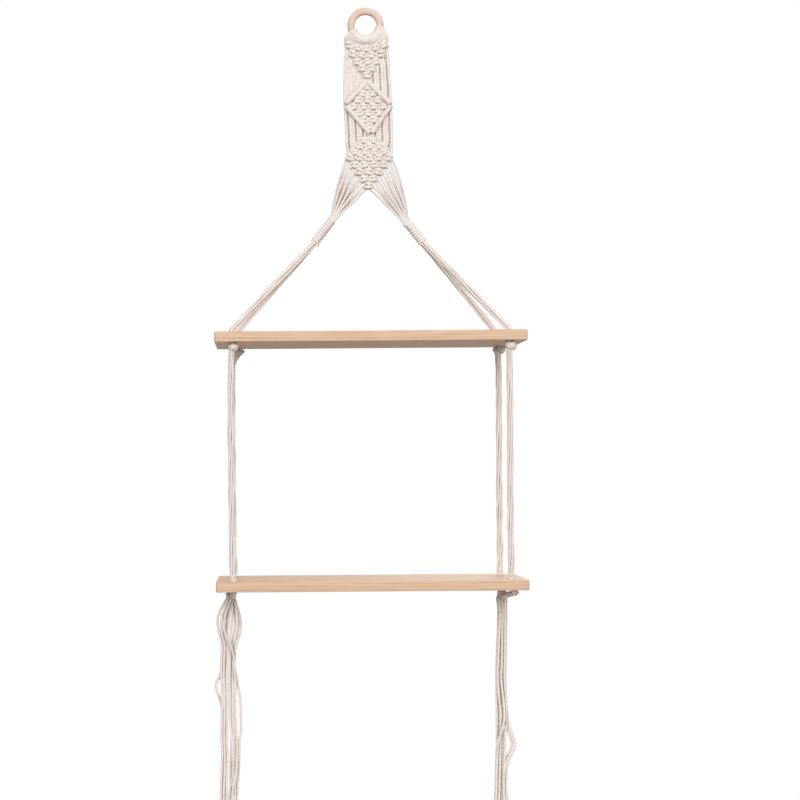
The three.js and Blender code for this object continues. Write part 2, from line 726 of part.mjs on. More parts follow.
        across: [-2, -1.5, -1, -2, -3, -3.5, -4, -4, -4, -4, -4, -4, -4, -4.5, -5, -5, -6, -7, -7, -6.5],
        inDepth: [0, 0, 0, 0, 0, 0, 0, 0, 0.5, 0.5, 1, 1.5, 1.5, 1, 0.5, 0.5, 0.5, 0.5, 0.5, 0.5],
      },
      {
        steps: tasselSteps,
        across: [2, 2.5, 2.5, 2, 1, 0.5, 0, 0, 0.5, 0.5, 0, 0, 0, -0.5, -1, -1, -1.5, -2, -2, -2],
        inDepth: [0, 0, 0, 0, 0, 0, 0, 0, 0, 0, 0, 0, 0, 0, 0, 0, 0, 0, 0, 0],
      },
      {
        steps: bowedTasselSteps,
        across: [6, 6, 6, 5.5, 5, 4.5, 4, 5, 6.5, 8.5, 12, 15, 16.5, 13, 7.5, 5, 4, 6.5, 7, 6.5],
        inDepth: [0, 0, 0, 0, 0, 0, 0, 1, 1.5, 1, 0, -1, -1, -1, -0.5, -0.5, 0, 0, 0, 0],
      },
      {
        steps: tasselSteps,
        across: [
          -4, -3.5, -3, -3.5, -4.5, -5.5, -6, -6, -6, -6, -6, -6, -6, -6.5, -7, -7, -8, -9.5, -9, -9,
        ],
        inDepth: [3.5, 3.5, 3.5, 3.5, 3.5, 3.5, 3.5, 3.5, 3.5, 3.5, 4, 4.5, 4.5, 4, 4, 4, 4, 4, 4, 4],
      },
      {
        steps: tasselSteps,
        across: [0, 0.5, 0.5, 0, -1, -2, -2, -2, -2, -2, -2, -2, -2, -2.5, -3, -3.5, -4, -4.5, -4.5, -4],
        inDepth: [3.5, 3.5, 3.5, 3.5, 3.5, 3.5, 3.5, 3.5, 3.5, 3.5, 4, 4.5, 4.5, 4, 4, 4, 4, 4, 4, 4],
      },
      {
        steps: bowedTasselSteps,
        across: [4, 4, 4, 3.5, 3, 2, 2, 2, 2.5, 4.5, 8, 11, 12.5, 9, 3.5, 1, 0, 2, 2.5, 2.5],
        inDepth: [
          3.5, 3.5, 3.5, 3.5, 3.5, 3.5, 3.5, 3.5, 3.5, 3, 2, 1.5, 1.5, 2, 3, 3.5, 3.5, 3.5, 3.5, 3.5,
        ],
      },
    ],
  },
};

function tasselStrand(drops, { steps, across, inDepth }) {
  const places = drops.map((drop, i) => point(across[i], inDepth[i], tasselTopZ - drop));
  return swept(roundSection(cordRadius, tasselSides), places, steps);
}

// The whole shelf, in the groups that move together
const shelf = new THREE.Group();
shelf.add(meshOf('hanging_ring', hangingRing(), beech));

const loops = new THREE.Group();
for (let pair = 0; pair < knotsAcross; pair += 1) {
  loops.add(meshOf(`cord_loops_${pair + 1}`, loopPair(pair), cotton));
}
shelf.add(loops);

const band = new THREE.Group();
band.add(meshOf('band_upper_knots', upperField(), cotton));
band.add(meshOf('band_diamond', diamond(), cotton));
band.add(meshOf('band_lower_knots', lowerField(), cotton));
const wraps = {
  left: wrapAt(leftWrapEndOut, leftWrapLength, leftWrapTurns),
  right: wrapAt(rightWrapEndOut, rightWrapLength, rightWrapTurns),
};
for (const [name, side] of sides) {
  band.add(meshOf(`${name}_fan`, onSide(fan(wraps[name]), side), cotton));
  band.add(meshOf(`${name}_gathering_wrap`, onSide(gatheringWrap(wraps[name]), side), cotton));
}
shelf.add(band);

const upperShelf = new THREE.Group();
const upperBoard = meshOf('upper_board', board(), pine);
upperBoard.position.z = upperBoardTopZ;
upperShelf.add(upperBoard);
for (const { name, sideName, side, face } of corners()) {
  upperShelf.add(meshOf(`${name}_leg`, onSide(leg(wraps[sideName], face), side), cotton));
}
shelf.add(upperShelf);

const ropes = new THREE.Group();
for (const { name, x, y } of corners()) {
  const knot = meshOf(`${name}_upper_knot`, overhandKnot(upperKnotDiameter), cotton);
  knot.position.set(x, y, knotPivotZ);
  const drop = meshOf(`${name}_rope_drop`, ropeDrop(), cotton);
  drop.position.set(x, y, 0);
  const foot = meshOf(`${name}_rope_foot`, ropeFoot(), cotton);
  foot.position.set(x, y, footPivotZ);
  ropes.add(knot, drop, foot);
}
shelf.add(ropes);

const lowerShelf = new THREE.Group();
const lowerBoard = meshOf('lower_board', board(), pine);
lowerBoard.position.z = lowerBoardTopZ;
lowerShelf.add(lowerBoard);
for (const corner of corners()) {
  lowerShelf.add(meshOf(`${corner.name}_lower_strands`, lowerStrands(corner), cotton));
}
for (const [name, side] of sides) {
  const tassel = new THREE.Group();
  tassel.position.x = side * holeX - gatherShift;
  const knot = meshOf(`${name}_gather_knot`, overhandKnot(gatherDiameter), cotton);
  knot.position.z = gatherZ;
  tassel.add(knot);
  const { drops, strands } = tasselRoutes[name];
  strands.forEach((strand, i) => {
    tassel.add(meshOf(`${name}_tassel_strand_${i + 1}`, tasselStrand(drops, strand), cotton));
  });
  lowerShelf.add(tassel);
}
shelf.add(lowerShelf);

export default shelf;
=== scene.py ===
import math

import bmesh
import bpy
import numpy as np
from mathutils import Matrix, Vector


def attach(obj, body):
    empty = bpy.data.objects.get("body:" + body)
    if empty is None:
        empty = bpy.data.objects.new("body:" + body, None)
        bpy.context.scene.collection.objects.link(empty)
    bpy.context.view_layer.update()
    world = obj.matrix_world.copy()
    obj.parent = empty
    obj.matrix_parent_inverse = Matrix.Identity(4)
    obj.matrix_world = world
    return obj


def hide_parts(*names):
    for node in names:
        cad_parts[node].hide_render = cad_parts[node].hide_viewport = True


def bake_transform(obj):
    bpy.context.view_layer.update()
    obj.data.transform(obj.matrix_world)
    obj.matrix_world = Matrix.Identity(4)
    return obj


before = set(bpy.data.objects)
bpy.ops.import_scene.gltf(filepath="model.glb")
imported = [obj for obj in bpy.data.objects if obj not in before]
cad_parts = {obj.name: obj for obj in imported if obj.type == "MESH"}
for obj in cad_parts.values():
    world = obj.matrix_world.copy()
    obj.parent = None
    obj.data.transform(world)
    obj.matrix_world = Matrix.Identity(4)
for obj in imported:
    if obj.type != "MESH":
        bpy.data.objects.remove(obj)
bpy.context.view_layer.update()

# Camera: a little left of the shelf's middle and two metres in front, level with the space between the boards.
# It leans a little, so that the shelf hangs a little out of plumb in the picture.
camera = bpy.data.objects.new("camera", bpy.data.cameras.new("camera"))
bpy.context.scene.collection.objects.link(camera)
bpy.context.scene.camera = camera
camera.location = (-0.1431, -2.165, -0.6263)
camera.rotation_euler = (math.radians(90), math.radians(0.42), 0)
camera.data.sensor_width = 36
camera.data.lens = 70.65
camera.data.shift_x = 0.16875
camera.data.shift_y = 0.0875

# Cord: three-ply twisted cotton, unbleached. The plies turn once in about three and a half diameters, and they give
# the cord its slanting furrows. Its many loose fibres make it matt, with a faint pale edge where it turns away.
mm = 0.001
cord_radius = 1.7 * mm
cord_lay = 12 * mm
cord_plies = 3
cord_sides = 12
furrow_depth = 0.16
wander = np.random.RandomState(7)


def smooth(points, step):
    """A smooth curve through the points, with places at equal steps along it. A fourth number of a point, the cord's
    radius there, goes along."""
    p = np.array(points, float)
    p = np.vstack([2 * p[0] - p[1], p, 2 * p[-1] - p[-2]])
    knots = np.concatenate([[0], np.cumsum(np.sqrt(np.linalg.norm(np.diff(p[:, :3], axis=0), axis=1)))])
    line = []
    for i in range(1, len(p) - 2):
        t0, t1, t2, t3 = knots[i - 1:i + 3]
        count = max(2, math.ceil(2 * np.linalg.norm(p[i + 1, :3] - p[i, :3]) / step))
        t = np.linspace(t1, t2, count, endpoint=False)[:, None]
        a1 = (t1 - t) / (t1 - t0) * p[i - 1] + (t - t0) / (t1 - t0) * p[i]
        a2 = (t2 - t) / (t2 - t1) * p[i] + (t - t1) / (t2 - t1) * p[i + 1]
        a3 = (t3 - t) / (t3 - t2) * p[i + 1] + (t - t2) / (t3 - t2) * p[i + 2]
        b1 = (t2 - t) / (t2 - t0) * a1 + (t - t0) / (t2 - t0) * a2
        b2 = (t3 - t) / (t3 - t1) * a2 + (t - t1) / (t3 - t1) * a3
        line.append((t2 - t) / (t2 - t1) * b1 + (t - t1) / (t2 - t1) * b2)
    line.append(p[-2:-1])
    line = np.vstack(line)
    along = np.concatenate([[0], np.cumsum(np.linalg.norm(np.diff(line[:, :3], axis=0), axis=1))])
    places = np.linspace(0, along[-1], max(3, round(along[-1] / step) + 1))
    return np.stack([np.interp(places, along, column) for column in line.T], axis=1)


def frames(line):
    """Two directions square to a line at each of its places, which don't turn about it"""
    tangent = np.gradient(line, axis=0)
    tangent /= np.linalg.norm(tangent, axis=1)[:, None]
    side = np.cross(tangent[0], (0, 0, 1) if abs(tangent[0][2]) < 0.9 else (0, 1, 0))
    sides = []
    for t in tangent:
        side = side - t * (side @ t)
        side /= np.linalg.norm(side)
        sides.append(side)
    sides = np.array(sides)
    return sides, np.cross(tangent, sides)


def twisted(points, radius=cord_radius, step=1.3 * mm, smoothed=False, furrows=1.0):
    """The skin of one cord along a line: its vertices, how deep each lies in a furrow, its faces and their UVs.
    U goes once round the cord and V is the length in cord lays. Furrows below 1 are shallower, as on a cord that is
    pulled tight."""
    line = np.array(points) if smoothed else smooth(points, step)
    if line.shape[1] == 4:
        radius = line[:, 3:]
        line = line[:, :3]
    first, second = frames(line)
    along = np.concatenate([[0], np.cumsum(np.linalg.norm(np.diff(line, axis=0), axis=1))])
    turn = 2 * math.pi * along / cord_lay + wander.uniform(0, 2 * math.pi)
    angle = 2 * math.pi * np.arange(cord_sides) / cord_sides
    lobe = np.abs(np.cos(cord_plies / 2 * angle))
    reach = radius * (1 - furrow_depth * furrows * (1 - lobe[None, :] ** 0.7))
    around = turn[:, None] + angle[None, :]
    skin = (line[:, None, :]
            + first[:, None, :] * (reach * np.cos(around))[:, :, None]
            + second[:, None, :] * (reach * np.sin(around))[:, :, None])
    vertices = np.vstack([skin.reshape(-1, 3), line[:1], line[-1:]])
    furrow = furrows * np.concatenate([np.tile(1 - lobe, len(line)), [0.3, 0.3]])
    faces, maps = [], []
    last = (len(line) - 1) * cord_sides
    for k in range(cord_sides):
        n = (k + 1) % cord_sides
        u, v = k / cord_sides, (k + 1) / cord_sides
        for i in range(len(line) - 1):
            a, b = i * cord_sides, (i + 1) * cord_sides
            faces.append((a + k, a + n, b + n, b + k))
            maps.append(((u, along[i] / cord_lay), (v, along[i] / cord_lay),
                         (v, along[i + 1] / cord_lay), (u, along[i + 1] / cord_lay)))
        faces.append((n, k, len(vertices) - 2))
        maps.append(((v, 0), (u, 0), (u, -0.1)))
        faces.append((last + k, last + n, len(vertices) - 1))
        maps.append(((u, 0), (v, 0), (u, 0.1)))
    return vertices, furrow, faces, maps


def piece(name, cords):
    """One object made of several cords"""
    vertices, furrows, faces, maps, count = [], [], [], [], 0
    for skin, furrow, quads, uvs in cords:
        vertices.append(skin)
        furrows.append(furrow)
        faces += [tuple(v + count for v in face) for face in quads]
        maps += uvs
        count += len(skin)
    mesh = bpy.data.meshes.new(name)
    mesh.from_pydata(np.vstack(vertices).tolist(), [], faces)
    mesh.attributes.new("furrow", "FLOAT", "POINT").data.foreach_set(
        "value", np.concatenate(furrows).astype(np.float32))
    uv = mesh.uv_layers.new(name="lay")
    uv.data.foreach_set("uv", np.array([corner for face in maps for corner in face], np.float32).ravel())
    mesh.shade_smooth()
    made = bpy.data.objects.new(name, mesh)
    bpy.context.scene.collection.objects.link(made)
    return made


def linear(hex_colour):
    """An sRGB hex colour as Blender's linear one"""
    shares = [int(hex_colour[i:i + 2], 16) / 255 for i in (1, 3, 5)]
    return tuple(s / 12.92 if s <= 0.04045 else ((s + 0.055) / 1.055) ** 2.4 for s in shares) + (1,)


def node(tree, kind, inputs, **settings):
    """Adds a node with its settings, and gives each input a value or links it to another node's output"""
    made = tree.nodes.new(kind)
    for name, value in settings.items():
        setattr(made, name, value)
    for name, value in inputs.items():
        if isinstance(value, bpy.types.NodeSocket):
            tree.links.new(value, made.inputs[name])
        else:
            made.inputs[name].default_value = value
    return made


def finish_of(name):
    """A new material, with its tree and its shader"""
    made = bpy.data.materials.new(name)
    made.use_nodes = True
    return made, made.node_tree, made.node_tree.nodes["Principled BSDF"]


cotton, tree, shader = finish_of("twisted_cotton_cord")
shader.inputs["Roughness"].default_value = 0.92
shader.inputs["Specular IOR Level"].default_value = 0.2
shader.inputs["Sheen Weight"].default_value = 0.2
shader.inputs["Sheen Roughness"].default_value = 0.5
place = node(tree, "ShaderNodeTexCoord", {}).outputs["Object"]
lay = node(tree, "ShaderNodeUVMap", {}, uv_map="lay").outputs["UV"]
# Fibres are 0.02 mm thick. They are drawn coarser, as bundles about 0.4 mm wide, a little aslant to the plies.
fibre_place = node(tree, "ShaderNodeMapping", {"Vector": lay, "Rotation": (0, 0, 0.45), "Scale": (26, 9, 1)})
fibres = node(tree, "ShaderNodeTexNoise", {"Vector": fibre_place.outputs[0], "Scale": 1.0, "Detail": 3.0})
# The yarn is darker and paler in patches about 12 mm long
patches = node(tree, "ShaderNodeTexNoise", {"Vector": place, "Scale": 80.0, "Detail": 2.0})
furrow = node(tree, "ShaderNodeAttribute", {}, attribute_name="furrow").outputs["Fac"]
yarn = node(tree, "ShaderNodeMix", {"Factor": patches.outputs[0], "A": linear("#eadfd7"), "B": linear("#f8f0ea")},
            data_type="RGBA")
# Painted shade: the colour is darker in the furrows between the plies, for the shade that lies in them
painted_furrow_shade = node(tree, "ShaderNodeMath", {0: furrow, 1: 0.4}, operation="MULTIPLY")
shaded = node(tree, "ShaderNodeMix", {"Factor": painted_furrow_shade.outputs[0], "A": yarn.outputs["Result"],
                                      "B": linear("#c3afa3")}, data_type="RGBA")
tree.links.new(shaded.outputs["Result"], shader.inputs["Base Color"])
relief = node(tree, "ShaderNodeBump", {"Height": fibres.outputs[0], "Strength": 0.4, "Distance": 0.3 * mm})
tree.links.new(relief.outputs[0], shader.inputs["Normal"])


def fitted(made, body, *nodes):
    """Gives a cotton piece its material, its body and the nodes that it stands for"""
    made.data.materials.append(cotton)
    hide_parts(*nodes)
    if body:
        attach(made, body)
    return made


# Ring: a turned beech ring, 50 mm across and 10 mm thick, sanded and left raw. A hook goes through its eye, and the
# cords hang on its lower half.
ring_mean = 20 * mm
ring_tube = 5 * mm
ring_centre = np.array((0, 0, -15 * mm))
ring_steps, tube_steps = 96, 32
vertices, faces = [], []
for i in range(ring_steps):
    a = 2 * math.pi * i / ring_steps
    for k in range(tube_steps):
        b = 2 * math.pi * k / tube_steps
        reach = ring_mean + ring_tube * math.cos(b)
        vertices.append((reach * math.cos(a), ring_tube * math.sin(b), ring_centre[2] + reach * math.sin(a)))
        n, m = (i + 1) % ring_steps, (k + 1) % tube_steps
        faces.append((i * tube_steps + k, n * tube_steps + k, n * tube_steps + m, i * tube_steps + m))
mesh = bpy.data.meshes.new("beech_ring")
mesh.from_pydata(vertices, [], faces)
mesh.shade_smooth()
ring = bpy.data.objects.new("beech_ring", mesh)
bpy.context.scene.collection.objects.link(ring)

# Sanded beech without lacquer is nearly matt, of a pale rosy brown
beech, tree, shader = finish_of("sanded_beech")
shader.inputs["Roughness"].default_value = 0.55
shader.inputs["Specular IOR Level"].default_value = 0.35
place = node(tree, "ShaderNodeTexCoord", {}).outputs["Object"]
# Beech has short dark flecks, about 0.8 mm wide and 3 mm long, and a broad change of tone over about 17 mm
fleck_place = node(tree, "ShaderNodeMapping", {"Vector": place, "Scale": (300, 1200, 1200)})
flecks = node(tree, "ShaderNodeTexNoise", {"Vector": fleck_place.outputs[0], "Scale": 1.0, "Detail": 3.0})
broad = node(tree, "ShaderNodeTexNoise", {"Vector": place, "Scale": 60.0, "Detail": 2.0})
grain = node(tree, "ShaderNodeMath", {0: flecks.outputs[0], 1: broad.outputs[0]}, operation="MULTIPLY")
shade = node(tree, "ShaderNodeMapRange", {"Value": grain.outputs[0], "From Min": 0.12, "From Max": 0.45})
tone = node(tree, "ShaderNodeMix", {"Factor": shade.outputs[0], "A": linear("#d3b4a1"), "B": linear("#eed8ca")},
            data_type="RGBA")
tree.links.new(tone.outputs["Result"], shader.inputs["Base Color"])
relief = node(tree, "ShaderNodeBump", {"Height": flecks.outputs[0], "Strength": 0.25, "Distance": 0.1 * mm})
tree.links.new(relief.outputs[0], shader.inputs["Normal"])
ring.data.materials.append(beech)
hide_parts("hanging_ring")
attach(ring, "ring")

# Loops: ten cotton cords folded over the lower half of the ring. They fan out round it and hang down side by side,
# front and back together, as twenty strands.
strands = 20
strand_pitch = 3.2 * mm
loop_end = -42.168 * mm
loop_span = math.radians(150)
loop_shift = math.radians(7)
loop_first_turn = math.radians(62)
loop_reach = 6.75 * mm
loop_inner_reach = 5.9 * mm
loop_radius = 1.95 * mm
loop_inner_radius = 1.45 * mm
loop_shoulder = 3.52 * mm
first_row = -47.118 * mm
knot_row = 9 * mm
row_rise = 5.5 * mm
row_rise_limit = 6.4 * mm


def draped(course):
    """The band as it hangs. Its first rows rise towards the sides. It is drawn in near the ring and a little wider
    lower down, and it sways by a few millimetres."""
    course = np.array(course, float)
    x, z = course[:, 0].copy(), course[:, 2].copy()
    fade = np.clip((z - first_row + 2 * knot_row) / (2 * knot_row), 0, 1)
    rise = np.minimum(row_rise * (x / (8 * strand_pitch)) ** 2, row_rise_limit)
    levels = np.array((-290, -250, -240, -190, -165, -125, -95, -45, 0)) * mm
    sway = np.interp(z, levels, np.array((0, 1.2, 1.8, 4.0, 3.8, 2.4, 1.6, 0.8, 0)) * mm)
    widening = np.interp(z, levels, (0, 0, 0, 0.01, 0.03, 0.05, 0.035, -0.055, -0.055))
    course[:, 0] = x * (1 + widening) + sway
    course[:, 2] = z + rise * fade
    return course


def strand_place(strand):
    """How far a strand of the band is to the right of the middle"""
    return (strand + 0.5 - strands / 2) * strand_pitch


for pair in range(5):
    cords = []
    for strand in range(4 * pair, 4 * pair + 4):
        angle = -math.pi / 2 + loop_shift + ((strand + 0.5) / strands - 0.5) * loop_span
        outward = np.array((math.cos(angle), 0, math.sin(angle)))
        bar = ring_centre + outward * ring_mean
        x = strand_place(strand)
        low, high = draped([(x, 0, loop_end - 2 * mm), (x, 0, loop_end + 2 * mm)])
        route = [(*low - (0, 1.4 * mm, 0), 1.6 * mm), (*high - (0, loop_shoulder, 0), 1.9 * mm)]
        for turn in np.linspace(loop_first_turn, 2 * math.pi - loop_first_turn, 9):
            off = outward * math.cos(turn) - np.array((0, math.sin(turn), 0))
            # In the eye of the ring the loops are pressed thinner and lie closer to it
            inward = max(0.0, -math.cos(turn))
            place = bar + off * (loop_reach + (loop_inner_reach - loop_reach) * inward)
            route.append((*place, loop_radius + (loop_inner_radius - loop_radius) * inward))
        route += [(*high + (0, loop_shoulder, 0), 1.9 * mm), (*low + (0, 0.2 * mm, 0), 1.6 * mm)]
        cords.append(twisted(route, step=1.1 * mm, furrows=0.45))
    loops = fitted(piece(f"cotton_loops_{pair + 1}", cords), None, f"cord_loops_{pair + 1}")
    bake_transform(loops)

# Square knots: four cotton strands each, tied side by side in rows. The two outer ones cross in front of and behind
# the two inner ones, twice, and each comes back to its own side, so that the strands keep their order down the band.
knot_pitch = 4 * strand_pitch
band_radius = 1.6 * mm
# Places in a knot 9 mm high, to the right, in depth and up, and the cord's radius, which is largest where it bulges
knot_drawn = 9
front_knot = [
    (-4.4, -0.5, 4.5, 1.6), (-4.9, -1.3, 3.3, 1.8), (-3.1, -2.9, 2.6, 2.35), (0, -3.8, 2.2, 2.75),
    (3.1, -3.0, 1.7, 2.3), (4.7, -1.0, 0.9, 1.7), (5.0, 0.4, 0, 1.5), (4.7, -1.0, -0.9, 1.7), (3.1, -3.0, -1.7, 2.3),
    (0, -3.8, -2.2, 2.75), (-3.1, -2.9, -2.6, 2.35), (-4.9, -1.3, -3.3, 1.8), (-4.4, -0.5, -4.5, 1.6),
]
back_knot = [
    (4.4, -0.5, 4.5, 1.6), (4.9, -1.4, 3.4, 1.8), (4.7, -2.2, 2.3, 1.8), (4.3, -1.4, 0.8, 1.5), (2.6, 1.6, 0.8, 1.7),
    (0, 3.4, 2.0, 2.3), (-2.8, 2.6, 2.4, 2.0), (-4.6, -0.6, 2.2, 1.6), (-4.8, -2.0, 1.3, 1.7), (-4.9, -2.4, 0, 1.8),
    (-4.8, -2.0, -1.3, 1.7), (-4.6, -0.6, -2.2, 1.6), (-2.8, 2.6, -2.4, 2.0), (0, 3.4, -2.0, 2.3),
    (2.6, 1.6, -0.8, 1.7), (4.3, -1.4, -0.8, 1.5), (4.7, -2.2, -2.3, 1.8), (4.9, -1.4, -3.4, 1.8),
    (4.4, -0.5, -4.5, 1.6),
]
inner_knot = [
    (1.7, -0.2, 4.5, 1.6), (1.5, -0.6, 2.6, 1.6), (1.4, -0.8, 0, 1.6), (1.5, -0.6, -2.6, 1.6), (1.7, -0.2, -4.5, 1.6),
]


def knot_rows(rows):
    """Rows as the count, place and height of their knots, and which hand each knot is tied with, its tilt and size"""
    made = []
    for i, (count, z, height) in enumerate(rows):
        # Knots of a wide row lean more, and every other row leans the other way
        tilts = wander.uniform(0, 0.32, count) * min(1, count / 3) * (1 if i % 2 == 0 else -1)
        sizes = wander.uniform(0.94, 1.08, (count, 3))
        flips = wander.uniform(0, 1, count) < (0.75 if i % 2 == 0 else 0.25)
        made.append((count, z, height, flips, tilts, sizes))
    return made


def knot_course(role, centre, z, height, flip, tilt, size):
    """Places of one strand in a square knot. Its role is its order in the knot, 0 to 3 from the left."""
    if role in (1, 2):
        shape = np.array(inner_knot) * (-1 if role == 1 else 1, 1, 1, 1)
    else:
        outer = role if not flip else 3 - role
        shape = np.array(front_knot if outer == 0 else back_knot) * (-1 if flip else 1, 1, 1, 1)
    shape = shape * (mm * size[0], mm * size[1], height / knot_drawn * size[2], mm)
    x, up = shape[:, 0].copy(), shape[:, 2].copy()
    shape[:, 0] = centre + x * math.cos(tilt) - up * math.sin(tilt)
    shape[:, 2] = z + x * math.sin(tilt) + up * math.cos(tilt)
    return shape


def band_strand(strand, top, bottom, rows, loose=True):
    """One strand of the band from a high place to a low one, through the knots of the rows in between. Where loose
    strands run free, they lie in threes, with the middle one behind the two beside it."""
    x = strand_place(strand)
    places = [np.array([(x, 0, top, band_radius)])]
    order = min(strand, strands - 1 - strand) % 3
    aside = (0.5, 0, -0.5)[order] * mm * (1 if strand < strands / 2 else -1) * loose
    forward = (-1.2, 2.2, -1.2)[order] * mm * loose
    free_radius = band_radius * (1 + (0.27, 0.08, 0.27)[order] * loose)

    def free(above, below):
        share = np.array((0.14, 0.38, 0.62, 0.86))
        z = above + (below - above) * share
        across = x + aside + wander.uniform(-0.2, 0.2, 4) * mm
        depth = forward + wander.uniform(-0.3, 0.3, 4) * mm
        return np.stack([across, depth, z, np.full(4, free_radius)], axis=1)

    for count, z, height, flips, tilts, sizes in rows:
        place = (x + count * knot_pitch / 2) / knot_pitch
        if 0 < place < count:
            k = math.floor(place)
            centre = (k - (count - 1) / 2) * knot_pitch
            role = round((x - centre) / strand_pitch + 1.5)
            if places[-1][-1, 2] - (z + height / 2) > knot_row:
                places.append(free(places[-1][-1, 2], z + height / 2))
            places.append(knot_course(role, centre, z, height, flips[k], tilts[k], sizes[k]))
    if places[-1][-1, 2] - bottom > knot_row:
        places.append(free(places[-1][-1, 2], bottom))
    places.append(np.array([(x, 0, bottom, band_radius)]))
    course = np.vstack(places)
    # Places that nearly meet would kink the curve
    keep = [0] + [i for i in range(1, len(course)) if np.linalg.norm(course[i] - course[i - 1]) > 0.3 * mm]
    return twisted(draped(course[keep]), step=1.1 * mm, furrows=0.5)


# Upper field: rows of five, four, three, two and one square knots of the cotton strands. The strands that no knot
# takes hang straight beside them, down to the diamond's slanting rolls: close together on the left, looser on the
# right.
upper_rows = knot_rows([(5 - i, first_row - i * knot_row, knot_row) for i in range(5)])
diamond_top, diamond_middle, diamond_bottom = -92.667 * mm, -124.667 * mm, -165.667 * mm
diamond_half = 31 * mm


def diamond_edge(strand, tip):
    """The height at which a strand meets the slanting edge that runs from a tip of the diamond to its side"""
    return tip + (diamond_middle - tip) * abs(strand_place(strand)) / diamond_half


cords = [band_strand(strand, loop_end, diamond_edge(strand, diamond_top), upper_rows, loose=strand >= strands / 2)
         for strand in range(strands)]
fitted(piece("upper_square_knots", cords), "band", "band_upper_knots")

# Diamond: four rolls of half hitches, for which each strand is turned twice round a slanting cord, with rows of one
# to four and back to one square knots inside. The rolls stand out in front of the band.
diamond_rows = knot_rows([(4 - abs(i), diamond_middle - (i + 0.25) * knot_row, knot_row) for i in range(-3, 4)])
cords = [band_strand(strand, diamond_edge(strand, diamond_top), diamond_edge(strand, diamond_bottom), diamond_rows)
         for strand in range(strands)]
corners = [(0, diamond_top), (diamond_half, diamond_middle),
           (2 * mm, diamond_bottom), (-diamond_half, diamond_middle)]
roll_forward = np.array((0, -4.2 * mm, 0))
roll_reaches = (2.4 * mm, 2.1 * mm, 2.4 * mm, 2 * mm)
roll_gap = 0.06
roll_core = 2.6 * mm
hitch_radius = 1.6 * mm
hitch_pitch = 2.7 * mm
for i, (x, z) in enumerate(corners):
    start, end = np.array((x, 0, z)), np.array((corners[(i + 1) % 4][0], 0, corners[(i + 1) % 4][1]))
    start, end = start + (end - start) * roll_gap + roll_forward, end + (start - end) * roll_gap + roll_forward
    cords.append(twisted(draped([start, (start + end) / 2, end]), radius=roll_core))
    direction = (end - start) / np.linalg.norm(end - start)
    across_roll = np.cross(direction, (0, 1, 0))
    turns = round(np.linalg.norm(end - start) / hitch_pitch)
    share = np.linspace(0, 1, turns * 12 + 1)
    turn = 2 * math.pi * turns * share
    if i in (1, 2):
        turn = -turn
    coil = (start + np.outer(share, end - start)
            + np.outer(roll_reaches[i] * np.cos(turn), across_roll)
            + np.outer(roll_reaches[i] * np.sin(turn), (0, 1, 0)))
    cords.append(twisted(draped(coil), radius=hitch_radius, step=1.1 * mm, furrows=0.2))
fitted(piece("hitched_diamond", cords), "band", "band_diamond")

# Lower field: rows of two to five and back to one square knots, looser from the widest row down. The long straight
# strands between the diamond and the field run down at its sides.
widest_row = -197.3 * mm
tight_row, loose_row = 7.9 * mm, 9.6 * mm
lower_rows = knot_rows([(5 - i, widest_row + i * tight_row, tight_row) for i in (3, 2, 1)]
                       + [(5 - i, widest_row - i * loose_row, loose_row) for i in range(5)])
lower_edge = widest_row - loose_row / 2
cords = []
for strand in range(strands):
    step_in = 4 - math.floor(abs(strand_place(strand)) / (2 * strand_pitch))
    cords.append(band_strand(strand, diamond_edge(strand, diamond_bottom), lower_edge - loose_row * step_in,
                             lower_rows))
fitted(piece("lower_square_knots", cords), "band", "band_lower_knots")

# Fans: the ten cotton strands of each side leave the lower field's slanting edge two by two. They draw straight
# together, five in front of five, into the gathering wrap, and on through it.
side_names = {-1: "left", 1: "right"}
wrap_lean = math.radians(38.5)
wrap_lengths = {-1: 42.5 * mm, 1: 36 * mm}
wrap_ends = {-1: np.array((-73.6, 0, -314.5)) * mm, 1: np.array((77.2, 0, -314.5)) * mm}
wrap_ways = {side: np.array((side * math.sin(wrap_lean), 0, -math.cos(wrap_lean))) for side in side_names}
wrap_asides = {side: np.array((side * math.cos(wrap_lean), 0, math.sin(wrap_lean))) for side in side_names}
wrap_tops = {side: wrap_ends[side] - wrap_ways[side] * wrap_lengths[side] for side in side_names}
fan_apex = lower_edge - 4 * loose_row
fan_radius = 1.72 * mm
fan_layer = 1.6 * mm
fan_half_width = 3.6 * mm
# How far each strand bows out of its straight way, from the middle outwards
fan_bows = {-1: (0, 0, 0.5, 0, -0.5, 0.5, 0, 0.8, 1.2, 1.6), 1: (0, 0.5, 0, -0.5, 0, 0.5, 0.8, 1.4, 2.2, 3.6)}
for side, name in side_names.items():
    cords = []
    for i, most in enumerate(fan_bows[side]):
        x = (i + 0.5) * strand_pitch
        layer = np.array((0, (-1 if i % 2 == 0 else 1) * fan_layer, 0))
        entry = wrap_tops[side] + wrap_asides[side] * ((i + 0.5) / 5 - 1) * fan_half_width + layer
        start = draped([(side * x, 0, fan_apex + loose_row * x / (2 * strand_pitch))])[0]
        places = [start + (0, 0, 4 * mm), start]
        for share in (0.2, 0.45, 0.7):
            bow = most * mm * math.sin(math.pi * share) + wander.uniform(-0.35, 0.35) * mm
            places.append(start + (entry - start) * share + layer * min(1, 2 * share) + wrap_asides[side] * bow)
        places += [entry, entry + wrap_ways[side] * 7 * mm]
        cords.append(twisted(places, radius=fan_radius))
    fitted(piece(f"fan_of_{name}_strands", cords), "band", f"{name}_fan")

